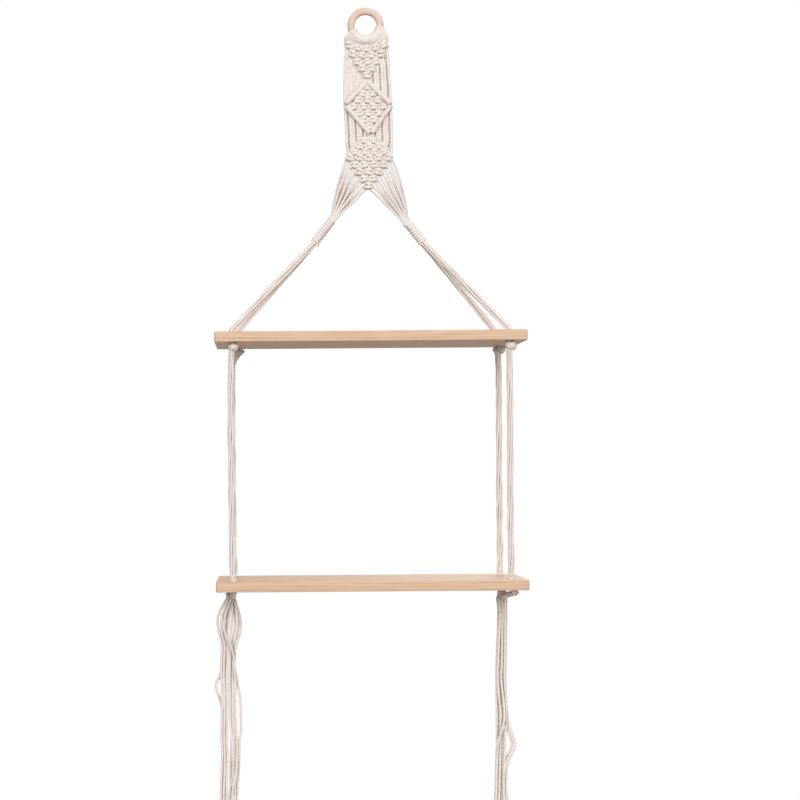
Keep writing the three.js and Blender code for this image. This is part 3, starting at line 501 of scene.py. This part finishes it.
# Gathering wraps: one cotton cord wound ten times round the left strands and nine times round the right ones, and
# pulled tight. Its ends are tucked under the end turns, where they show as small humps on the inner side.
wrap_turns = {-1: 10, 1: 9}
wrap_radius = 2.15 * mm
wrap_reach = 4.2 * mm
wrap_inset = 1.8 * mm
gathered_reach = 2.2 * mm
hump_reach = 4.6 * mm
hump_places = {-1: (41 * mm,), 1: (1 * mm, 34.5 * mm)}
for side, name in side_names.items():
    way, aside, length = wrap_ways[side], wrap_asides[side], wrap_lengths[side]
    top, end = wrap_tops[side], wrap_ends[side]
    share = np.linspace(0, 1, wrap_turns[side] * 16 + 1)
    turn = 2 * math.pi * wrap_turns[side] * share * side
    coil = (top + np.outer(wrap_inset + share * (length - 2 * wrap_inset), way)
            + np.outer(wrap_reach * np.cos(turn), aside) + np.outer(wrap_reach * np.sin(turn), (0, 1, 0)))
    cords = [twisted(coil, radius=wrap_radius, step=1.2 * mm, furrows=0.4)]
    # The gathered strands inside show at both ends of the wrap
    for k in range(5):
        spread = 2 * math.pi * k / 5
        offset = gathered_reach * (aside * math.cos(spread) + np.array((0, math.sin(spread), 0)))
        cords.append(twisted([top + offset, (top + end) / 2 + offset, end + offset], step=2 * mm))
    for place in hump_places[side]:
        hump = top + way * place - aside * hump_reach
        cords.append(twisted([hump + np.array((0, y * mm, 0)) - aside * out * mm + way * down * mm
                              for y, out, down in ((3.2, -2.6, -2), (0.6, 0.4, -1), (-2.6, 0.2, 1), (-3.4, -2.8, 2))],
                             radius=1.7 * mm))
    fitted(piece(f"{name}_wound_cord", cords), "band", f"{name}_gathering_wrap")

# Boards: two planks of planed pine, 420 x 130 x 14 mm, with softened edges and a drilled hole near each corner, left
# raw. The upper one rests on a knot under each hole, and the lower one on the strands that turn under it.
board_size = (420 * mm, 130 * mm, 14 * mm)
board_bevel = 1.2 * mm
corner_radius = 3.5 * mm
hole_place = (187 * mm, 50 * mm)
hole_radius = 5.092 * mm
corner_names = [("left_front", -1, -1), ("left_back", -1, 1), ("right_front", 1, -1), ("right_back", 1, 1)]
upper_top, lower_top = -440.5 * mm, -776 * mm


def hole_at(x, y, z=0.0):
    """A place on the axis of a board's hole, on the side and end that the signs of x and y give"""
    return np.array((x * hole_place[0], y * hole_place[1], z))


# Planed pine without lacquer is matt and warm yellow, with darker lines of late wood
pine, tree, shader = finish_of("planed_pine")
shader.inputs["Roughness"].default_value = 0.6
shader.inputs["Specular IOR Level"].default_value = 0.3
place = node(tree, "ShaderNodeTexCoord", {}).outputs["Object"]
# Growth rings are 2 to 4 mm apart. They are drawn coarser, so that they show: about 5 mm apart on the edges and
# 8 mm on the broad faces. They wander along the board over about 100 mm.
ring_place = node(tree, "ShaderNodeMapping", {"Vector": place, "Scale": (9, 110, 160), "Rotation": (0.9, 0, 0.02)})
rings = node(tree, "ShaderNodeTexWave", {"Vector": ring_place.outputs[0], "Scale": 0.55, "Distortion": 9.0,
                                         "Detail": 3.0, "Detail Scale": 0.45},
             wave_type="BANDS", bands_direction="Y", wave_profile="SAW")
# Its fibres show as streaks about 0.7 mm wide and 40 mm long
fibre_place = node(tree, "ShaderNodeMapping", {"Vector": place, "Scale": (25, 1500, 1500)})
fibre = node(tree, "ShaderNodeTexNoise", {"Vector": fibre_place.outputs[0], "Scale": 1.0, "Detail": 3.0})
late = node(tree, "ShaderNodeMapRange", {"Value": rings.outputs["Fac"], "From Min": 0.35, "From Max": 1.0})
# The dark late wood of a ring is stronger in some places than in others, over about 60 mm along the board
bands = node(tree, "ShaderNodeMapping", {"Vector": place, "Scale": (16, 60, 230)})
uneven = node(tree, "ShaderNodeTexNoise", {"Vector": bands.outputs[0], "Scale": 1.0, "Detail": 2.0})
share = node(tree, "ShaderNodeMapRange", {"Value": uneven.outputs[0], "From Min": 0.35, "From Max": 0.68,
                                          "To Min": 0.05, "To Max": 0.62})
strength = node(tree, "ShaderNodeMath", {0: late.outputs[0], 1: share.outputs[0]}, operation="MULTIPLY")
early = node(tree, "ShaderNodeMix", {"Factor": fibre.outputs[0], "A": linear("#c7a184"), "B": linear("#e7cab0")},
             data_type="RGBA")
wood = node(tree, "ShaderNodeMix", {"Factor": strength.outputs[0], "A": early.outputs["Result"],
                                    "B": linear("#a87a55")}, data_type="RGBA")
tree.links.new(wood.outputs["Result"], shader.inputs["Base Color"])
relief = node(tree, "ShaderNodeBump", {"Height": fibre.outputs[0], "Strength": 0.2, "Distance": 0.1 * mm})
tree.links.new(relief.outputs[0], shader.inputs["Normal"])

for name, body, top in (("upper", "upper_shelf", upper_top), ("lower", "lower_shelf", lower_top)):
    outline = bpy.data.curves.new(f"{name}_outline", "CURVE")
    outline.dimensions = "2D"
    outline.fill_mode = "BOTH"
    outline.extrude = board_size[2] / 2 - board_bevel
    outline.bevel_depth = board_bevel
    outline.bevel_resolution = 3
    rim = []
    reach = corner_radius - board_bevel
    for x, y, begin in ((1, 1, 0), (-1, 1, 90), (-1, -1, 180), (1, -1, 270)):
        centre_x = x * (board_size[0] / 2 - corner_radius)
        centre_y = y * (board_size[1] / 2 - corner_radius)
        for degrees in range(begin, begin + 91, 15):
            rim.append((centre_x + reach * math.cos(math.radians(degrees)),
                        centre_y + reach * math.sin(math.radians(degrees))))
    lines = [rim]
    reach = hole_radius + board_bevel
    for _, x, y in corner_names:
        hole = hole_at(x, y)
        lines.append([(hole[0] + reach * math.cos(t), hole[1] + reach * math.sin(t))
                      for t in np.linspace(0, 2 * math.pi, 40, endpoint=False)])
    for line in lines:
        spline = outline.splines.new("POLY")
        spline.points.add(len(line) - 1)
        for point, (x, y) in zip(spline.points, line):
            point.co = (x, y, 0, 1)
        spline.use_cyclic_u = True
    shape = bpy.data.objects.new(f"{name}_outline", outline)
    bpy.context.scene.collection.objects.link(shape)
    bpy.context.view_layer.update()
    mesh = bpy.data.meshes.new_from_object(shape.evaluated_get(bpy.context.evaluated_depsgraph_get()))
    bpy.data.objects.remove(shape)
    form = bmesh.new()
    form.from_mesh(mesh)
    bmesh.ops.remove_doubles(form, verts=form.verts, dist=0.01 * mm)
    form.to_mesh(mesh)
    form.free()
    board = bpy.data.objects.new(f"{name}_pine_board", mesh)
    bpy.context.scene.collection.objects.link(board)
    mesh.transform(Matrix.Translation((0, 0, top - board_size[2] / 2)))
    mesh.materials.clear()
    mesh.materials.append(pine)
    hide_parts(f"{name}_board")
    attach(board, body)


# Legs: five cotton strands each. They run straight from a wrap to a corner of the upper board and down through its
# hole, and are held by the wrap above and the knot below.
bundle_strands = 5


def bundle(course, reach=2.8 * mm, turn=0.0, slack=0.35 * mm):
    """Strands side by side round a course, with a slow turn about it in radians per metre. Each one wanders in and
    out by its slack, which dies away at both ends."""
    line = smooth(course, 1.3 * mm)
    first, second = frames(line)
    along = np.concatenate([[0], np.cumsum(np.linalg.norm(np.diff(line, axis=0), axis=1))])
    begin = wander.uniform(0, 2 * math.pi)
    cords = []
    for k in range(bundle_strands):
        angle = begin + 2 * math.pi * k / bundle_strands + turn * along
        phase, length = wander.uniform(0, 2 * math.pi), wander.uniform(35, 70) * mm
        ease = np.minimum(1, np.minimum(along, along[-1] - along) / (15 * mm))
        out = reach + slack * ease * np.sin(2 * math.pi * along / length + phase)
        route = line + first * (out * np.cos(angle))[:, None] + second * (out * np.sin(angle))[:, None]
        cords.append(twisted(route, smoothed=True))
    return cords


for name, x, y in corner_names:
    hole = hole_at(x, y, upper_top)
    bend = hole + (0, 0, 2.6 * mm)
    end = wrap_ends[x]
    start = end + (0, y * 2.2 * mm, 0)
    towards = (bend - start) / np.linalg.norm(bend - start)
    course = [start - wrap_ways[x] * 6 * mm, start, start + (bend - start) / 3, start + (bend - start) * 2 / 3,
              bend - towards * 7 * mm, bend, hole + (0, 0, -4 * mm), hole + (0, 0, -17 * mm)]
    leg = fitted(piece(f"{name}_leg_strands", bundle(course, turn=8, slack=0.25 * mm)), None, f"{name}_leg")
    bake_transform(leg)


# Overhand knots: the five cotton strands of each leg are tied in one knot under its hole, and the upper board rests
# on the four knots. The bundle turns round itself in a leaning band and crosses over it.
def overhand(centre, width, height, lean):
    """Four turns of strands leaning one way and three arcs that cross them, as wide and high as the knot. The ends of
    the arcs are tucked in."""
    cords = []
    reach = width / 2 - 1.05 * cord_radius
    flatten = np.array((1, 1, height / width))
    for tilt, out, half_turn, tuck, offsets in ((26, 0.86, math.pi, 0, (-1.5, -0.5, 0.5, 1.5)),
                                                (-34, 1.0, 1.9, 0.45, (-1, 0, 1))):
        tilt = math.radians(tilt) * lean
        up = np.array((math.sin(tilt), 0.25 * lean, math.cos(tilt)))
        up /= np.linalg.norm(up)
        first = np.cross((0, 1, 0), up)
        first /= np.linalg.norm(first)
        second = np.cross(up, first)
        for k in offsets:
            height_on = k * 1.55 * cord_radius
            circle = math.sqrt(max(reach ** 2 - height_on ** 2, cord_radius ** 2)) * out
            way_round = np.linspace(-half_turn, half_turn, 28)
            circle = circle * (1 - tuck * np.abs(way_round / half_turn) ** 6)
            turn = way_round - math.pi / 2
            route = np.outer(circle * np.cos(turn), first) + np.outer(circle * np.sin(turn), second) + up * height_on
            cords.append(twisted(centre + route * flatten, step=1.2 * mm))
    return cords


knot_pivot = -463 * mm
# Width and height of each knot, and the shift of its middle from its pivot, to the right and up, as they are tied
knot_sizes = {"left_front": (16, 12.5, 2.4, 2.2), "left_back": (15, 12, 6, 2.7),
              "right_front": (18.5, 15.5, 2.4, 2.2), "right_back": (17, 15, 3, 4.7)}
# How far six more turns of each back knot spread under the board, to the left and to the right of its hole
knot_spreads = {"left_back": (-1, 15), "right_back": (-6.5, 3)}
for name, x, y in corner_names:
    width, height, right, up = knot_sizes[name]
    place = hole_at(x, y, knot_pivot)
    centre = place + (right * mm, 0, up * mm)
    cords = overhand(centre, width * mm, height * mm, lean=x * y)
    cords += bundle([place + (0, 0, rise * mm) for rise in (12, 5, -5, -9)], reach=2.3 * mm)
    if name in knot_spreads:
        for k, out in enumerate(np.linspace(*knot_spreads[name], 6)):
            back = k % 2 * 4
            route = ((out * 0.75, back - 2, 6), (out, back - 3, 4.2), (out * 0.7, back - 3, 0),
                     (out * 0.35, back - 2, -6), (out * 0.12, back * 0.75 - 1.5, -13))
            cords.append(twisted([place + np.array(point) * mm for point in route], radius=2 * mm))
    fitted(piece(f"{name}_upper_overhand_knot", cords), f"{name}_knot", f"{name}_upper_knot")

# Rope drops: the same five cotton strands, from each knot straight down to the lower board, with a slow turn about
# each other.
drop_levels = (-464, -475, -520, -600, -680, -740, -760, -771.108)
drop_sways = {-1: (0, -0.6, -1.5, -1.6, -1.4, -1.2, -0.5, 0), 1: (0, 0.3, 0.6, 0.4, 0.2, 0.5, 0.3, 0)}
for name, x, y in corner_names:
    course = [hole_at(x, y, z * mm) + (sway * mm, 0, 0) for sway, z in zip(drop_sways[x], drop_levels)]
    cords = bundle(course, turn=16, slack=0.4 * mm)
    drop = fitted(piece(f"{name}_drop_strands", cords), None, f"{name}_rope_drop")
    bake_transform(drop)

# Feet: the short lengths of the same strands where they bend into the lower board's holes. The board holds them and
# they turn with it, at the left back corner on a pivot of their own.
foot_pivot = drop_levels[-1] * mm
for name, x, y in corner_names:
    body = "left_back_foot" if name == "left_back" else "lower_shelf"
    course = [hole_at(x, y, foot_pivot + rise * mm) for rise in (4, 0, -6)]
    fitted(piece(f"{name}_foot_strands", bundle(course, reach=2.6 * mm)), body, f"{name}_rope_foot")

# Lower strands: the same cotton strands come out under the lower board's holes, turn and run along its underside from
# front and back to the gathering knot in the middle. The right front ones bow outwards on their way.
gather_z = -797.3 * mm
gather_places = {-1: -192 * mm, 1: 182 * mm}
for name, x, y in corner_names:
    hole = hole_at(x, y)
    course = [hole + (0, 0, -775 * mm), hole + (0, 0, -788 * mm), hole + (0, -y * 5 * mm, -795.4 * mm),
              (hole[0] - 1 * mm, y * 29 * mm, -797.5 * mm), (gather_places[x], y * 13 * mm, -799 * mm),
              (gather_places[x], y * 3 * mm, gather_z - 2 * mm)]
    if name == "right_front":
        course = [hole + (0, 0, -775 * mm), hole + (1 * mm, 0, -787 * mm), hole + (7.5 * mm, 5 * mm, -794.4 * mm),
                  hole + (5.5 * mm, 16 * mm, -795.6 * mm), hole + (1 * mm, 29 * mm, -798.4 * mm),
                  (gather_places[x] + 2 * mm, -12 * mm, -800.6 * mm),
                  (gather_places[x], -5 * mm, -801.6 * mm)]
    fitted(piece(f"{name}_turned_strands", bundle(course, reach=2.5 * mm, turn=15)), "lower_shelf",
           f"{name}_lower_strands")

# Gathering knots: the front and back cotton strands of each side are tied in one knot under the lower board, between
# its holes. The knot bears the board, and the tassel hangs from it.
for side, name in side_names.items():
    centre = np.array((gather_places[side], 0, gather_z))
    cords = overhand(centre, 14 * mm, 13 * mm, lean=side)
    fitted(piece(f"{name}_gathering_knot", cords), f"{name}_gather", f"{name}_gather_knot")

# Tassels: ten cotton strands hang free from each gathering knot, with their ends cut and left bare. Most hang close
# together, and two in each tassel stand out in a bow.
tassel_top = -804.6 * mm
tassel_radius = 1.82 * mm
# Where each tassel hangs, the drops below its top at which the places are given, and each strand's places to the
# right and in depth
tassel_routes = {
    "left": (
        -192,
        [0, 10, 24, 38, 52, 64, 84, 104, 118, 140, 162, 184, 194, 214, 238, 262, 290, 330, 376],
        [
            ([-6, -12, -17.5, -17.5, -14.5, -12, -13, -13.5, -13, -13, -13, -13.5, -13.5, -13, -14, -15, -15,
              -15, -14],
             [0, -0.5, -1, -1, -1.5, -2, -2, -2, -2.5, -2.5, -2, -2, -2, -2, -2, -2, -2, -2, -2]),
            ([-4, -7.5, -12, -13, -11, -8.5, -9.5, -10, -9.5, -9, -9.5, -10, -10, -9.5, -10, -11, -11.5, -11,
              -10],
             [-3.5, -3.5, -3.5, -3, -3.5, -3, -2.5, -2.5, -3, -3, -2.5, -2.5, -2.5, -2.5, -3, -3, -3, -3, -3]),
            ([0, -3.5, -8, -9, -5.5, 0.5, 4.5, 5.5, 6, 5.5, 5.5, 7, 7.5, 8, 6, 1.5, -1, -3, -3],
             [-3.5, -4.5, -4.5, -5.5, -6.5, -6.5, -5, -4.5, -4, -3.5, -3, -3, -3, -3, -5, -5.5, -3.5, -3, -3]),
            ([-2, -1, -2.5, -3.5, -4.5, -4.5, -5, -6, -6, -5.5, -6, -6, -6.5, -5.5, -6.5, -7, -7.5, -7, -6.5],
             [0, -0.5, -1, -1.5, -2.5, -2.5, -2.5, -2.5, -2.5, -2.5, -2.5, -2.5, -2.5, -2.5, -2.5, -2.5, -2.5,
              -2.5, -2.5]),
            ([2, 2.5, 2, 1, -0.5, -1, -1, -2, -2, -1.5, -1.5, 0, 0.5, 1.5, 2, -2.5, -4, -4, -3],
             [0, -2, -2.5, -2.5, -2.5, -2.5, -2.5, -2.5, -2.5, -2.5, -2.5, -2.5, -2.5, -2.5, -1.5, -1, -0.5,
              0.5, 0.5]),
            ([4, 9, 13, 14, 11, 7, 5, 2.5, 2, 2, 2, 3.5, 4.5, 5, 5.5, 4.5, 4.5, 4, 3.5],
             [-3.5, -3, -1.5, -1, -1, -1, -1, -1, -2.5, -3, -3, -2, -1, 0, -0.5, -2, -2, -2, -2]),
            ([-4, -6, -9, -8.5, -9.5, -10, -11, -15, -21, -15, -11.5, -11.5, -12, -11.5, -12, -13, -13.5, -13,
              -12.5],
             [3.5, 3.5, 2, 2, 2, 2.5, 2.5, 1.5, 0.5, 1.5, 2.5, 2, 2, 2, 2, 2, 2, 2, 2]),
            ([0, -1.5, -4.5, -5, -5.5, -6, -7, -7.5, -7.5, -7, -7.5, -8, -8, -7.5, -8, -9, -9.5, -9, -8.5],
             [3.5, 3.5, 3, 3, 2.5, 2.5, 2.5, 2.5, 2.5, 2.5, 2.5, 2.5, 2.5, 2.5, 2.5, 2.5, 2.5, 2.5, 2.5]),
            ([4, 4.5, 6, 6, 3.5, 2, 0.5, -0.5, -0.5, -0.5, -1, 0, 0, -0.5, -1.5, -1.5, -1.5, -1.5, -1],
             [3.5, 3.5, 3.5, 3, 2.5, 2.5, 2.5, 2.5, 2.5, 2.5, 2.5, 2.5, 2.5, 2.5, 2.5, 2.5, 2.5, 3, 3.5]),
            ([6, 8.5, 10.5, 10, 7.5, 5.5, 4.5, 6.5, 9.5, 12.5, 13, 13, 11, 10.5, 9.5, 7.5, 5, 4, 4],
             [0, 1, 2, 2, 2, 2.5, 3, 2, 1, 0, 0, -0.5, -0.5, 0, 1, 1.5, 2, 2, 2]),
        ],
    ),
    "right": (
        182,
        [0, 12, 26, 44, 64, 88, 112, 138, 160, 174, 184, 194, 204, 214, 226, 240, 262, 290, 330, 376],
        [
            ([-4, -3.5, -3, -4, -5, -6, -7, -5, -3, -3, -3.5, -3.5, -3.5, -4, -4.5, -5, -5.5, -6.5, -6.5, -6],
             [-3.5, -3.5, -3.5, -3.5, -3.5, -3.5, -3.5, -3.5, -3.5, -3, -2.5, -2, -2, -2.5, -3, -3, -3, -3, -3,
              -3]),
            ([0, 0.5, 0.5, 0, -0.5, -1, -2, 0.5, 2, 0, -3, -6, -7.5, -8, -8.5, -9, -9.5, -10.5, -10, -9.5],
             [-3.5, -3.5, -3.5, -3.5, -3.5, -3.5, -3.5, -4, -5.5, -7, -7, -6.5, -5.5, -4, -3, -2.5, -2.5, -2.5,
              -2.5, -2.5]),
            ([4, 4, 4, 4, 3.5, 3, 2.5, 4.5, 5, 4.5, 3.5, 3, 2.5, 2, 1.5, 1, 0.5, 1, 1.5, 1.5],
             [-3.5, -3.5, -3.5, -3.5, -3.5, -3.5, -3.5, -3, -2.5, -2, -2.5, -3, -3, -3, -3, -3.5, -3.5, -3.5,
              -3, -3]),
            ([-6, -5, -5, -5.5, -6.5, -7.5, -8, -8, -8, -8, -8, -8, -8, -8.5, -9, -9.5, -10, -12, -12, -11.5],
             [0, 0, 0, 0, 0, 0, 0, -0.5, -0.5, -0.5, -0.5, 0, 0.5, 0.5, 1, 1, 1, 1, 1, 1]),
            ([-2, -1.5, -1, -2, -3, -3.5, -4, -4, -4, -4, -4, -4, -4, -4.5, -5, -5, -6, -7, -7, -6.5],
             [0, 0, 0, 0, 0, 0, 0, 0, 0.5, 0.5, 1, 1.5, 1.5, 1, 0.5, 0.5, 0.5, 0.5, 0.5, 0.5]),
            ([2, 2.5, 2.5, 2, 1, 0.5, 0, 0, 0.5, 0.5, 0, 0, 0, -0.5, -1, -1, -1.5, -2, -2, -2],
             [0, 0, 0, 0, 0, 0, 0, 0, 0, 0, 0, 0, 0, 0, 0, 0, 0, 0, 0, 0]),
            ([6, 6, 6, 5.5, 5, 4.5, 4, 5, 6.5, 8.5, 12, 15, 16.5, 13, 7.5, 5, 4, 6.5, 7, 6.5],
             [0, 0, 0, 0, 0, 0, 0, 1, 1.5, 1, 0, -1, -1, -1, -0.5, -0.5, 0, 0, 0, 0]),
            ([-4, -3.5, -3, -3.5, -4.5, -5.5, -6, -6, -6, -6, -6, -6, -6, -6.5, -7, -7, -8, -9.5, -9, -9],
             [3.5, 3.5, 3.5, 3.5, 3.5, 3.5, 3.5, 3.5, 3.5, 3.5, 4, 4.5, 4.5, 4, 4, 4, 4, 4, 4, 4]),
            ([0, 0.5, 0.5, 0, -1, -2, -2, -2, -2, -2, -2, -2, -2, -2.5, -3, -3.5, -4, -4.5, -4.5, -4],
             [3.5, 3.5, 3.5, 3.5, 3.5, 3.5, 3.5, 3.5, 3.5, 3.5, 4, 4.5, 4.5, 4, 4, 4, 4, 4, 4, 4]),
            ([4, 4, 4, 3.5, 3, 2, 2, 2, 2.5, 4.5, 8, 11, 12.5, 9, 3.5, 1, 0, 2, 2.5, 2.5],
             [3.5, 3.5, 3.5, 3.5, 3.5, 3.5, 3.5, 3.5, 3.5, 3, 2, 1.5, 1.5, 2, 3, 3.5, 3.5, 3.5, 3.5, 3.5]),
        ],
    ),
}
for name, (centre_x, drops, routes) in tassel_routes.items():
    for i, (across_places, depth_places) in enumerate(routes):
        # In the knot the strands lie closer together
        route = [((centre_x + 0.6 * across_places[0]) * mm, 0.6 * depth_places[0] * mm, tassel_top + 5 * mm)]
        for drop, x, y in zip(drops, across_places, depth_places):
            route.append(((centre_x + x) * mm, y * mm, tassel_top - drop * mm))
        line = smooth(route, 1.4 * mm)
        strand = fitted(piece(f"{name}_tassel_cord_{i + 1}", [twisted(line, radius=tassel_radius, smoothed=True)]),
                        f"{name}_tassel", f"{name}_tassel_strand_{i + 1}")
        length = float(np.linalg.norm(np.diff(line, axis=0), axis=1).sum())
        smooth(route, 12 * mm).tolist()

# Studio: a plain pale floor under the tassels, a white surround whose light is stronger from above, and three large
# soft lamps, two in front of the shelf and one behind it. The camera sees the surround as plain white.
floor_mesh = bpy.data.meshes.new("floor")
floor_mesh.from_pydata([(-0.6, -0.6, -1.26), (0.6, -0.6, -1.26), (0.6, 0.42, -1.26), (-0.6, 0.42, -1.26)], [],
                       [(0, 1, 2, 3)])
floor = bpy.data.objects.new("floor", floor_mesh)
bpy.context.scene.collection.objects.link(floor)
# Uncoated paper, matt and nearly white
paper, tree, shader = finish_of("white_paper")
shader.inputs["Base Color"].default_value = linear("#e6e4e1")
shader.inputs["Roughness"].default_value = 0.9
floor_mesh.materials.append(paper)

world = bpy.data.worlds.new("white_surround")
bpy.context.scene.world = world
world.use_nodes = True
tree = world.node_tree
tree.nodes.clear()
rays = node(tree, "ShaderNodeLightPath", {})
seen = node(tree, "ShaderNodeMath", {0: rays.outputs["Is Camera Ray"], 1: rays.outputs["Is Glossy Ray"]},
            operation="MAXIMUM")
shown = node(tree, "ShaderNodeMath", {0: seen.outputs[0], 1: rays.outputs["Is Transmission Ray"]},
             operation="MAXIMUM")
height = node(tree, "ShaderNodeSeparateXYZ", {0: node(tree, "ShaderNodeTexCoord", {}).outputs["Generated"]})
glow = node(tree, "ShaderNodeMapRange", {"Value": height.outputs["Z"], "From Min": -0.45, "From Max": 0.6,
                                         "To Min": 0.06, "To Max": 0.56})
light = node(tree, "ShaderNodeBackground", {"Color": (1, 1, 1, 1), "Strength": glow.outputs[0]})
plain = node(tree, "ShaderNodeBackground", {"Color": (1, 1, 1, 1), "Strength": 1.0})
both = node(tree, "ShaderNodeMixShader", {0: shown.outputs[0], 1: light.outputs[0], 2: plain.outputs[0]})
node(tree, "ShaderNodeOutputWorld", {"Surface": both.outputs[0]})

for name, place, size, power in (("key_lamp", (-1.2, -2.6, 0.5), 1.8, 54), ("fill_lamp", (1.6, -2.0, 0.1), 1.6, 30),
                                 ("rear_lamp", (0.8, 2.8, 0.4), 1.2, 18)):
    lamp = bpy.data.objects.new(name, bpy.data.lights.new(name, "AREA"))
    lamp.data.size = size
    lamp.data.energy = power
    lamp.location = place
    aim = Vector((0, 0, -0.55)) - lamp.location
    lamp.rotation_mode = "QUATERNION"
    lamp.rotation_quaternion = aim.to_track_quat("-Z", "Y")
    bpy.context.scene.collection.objects.link(lamp)
bpy.context.scene.view_settings.view_transform = "Standard"
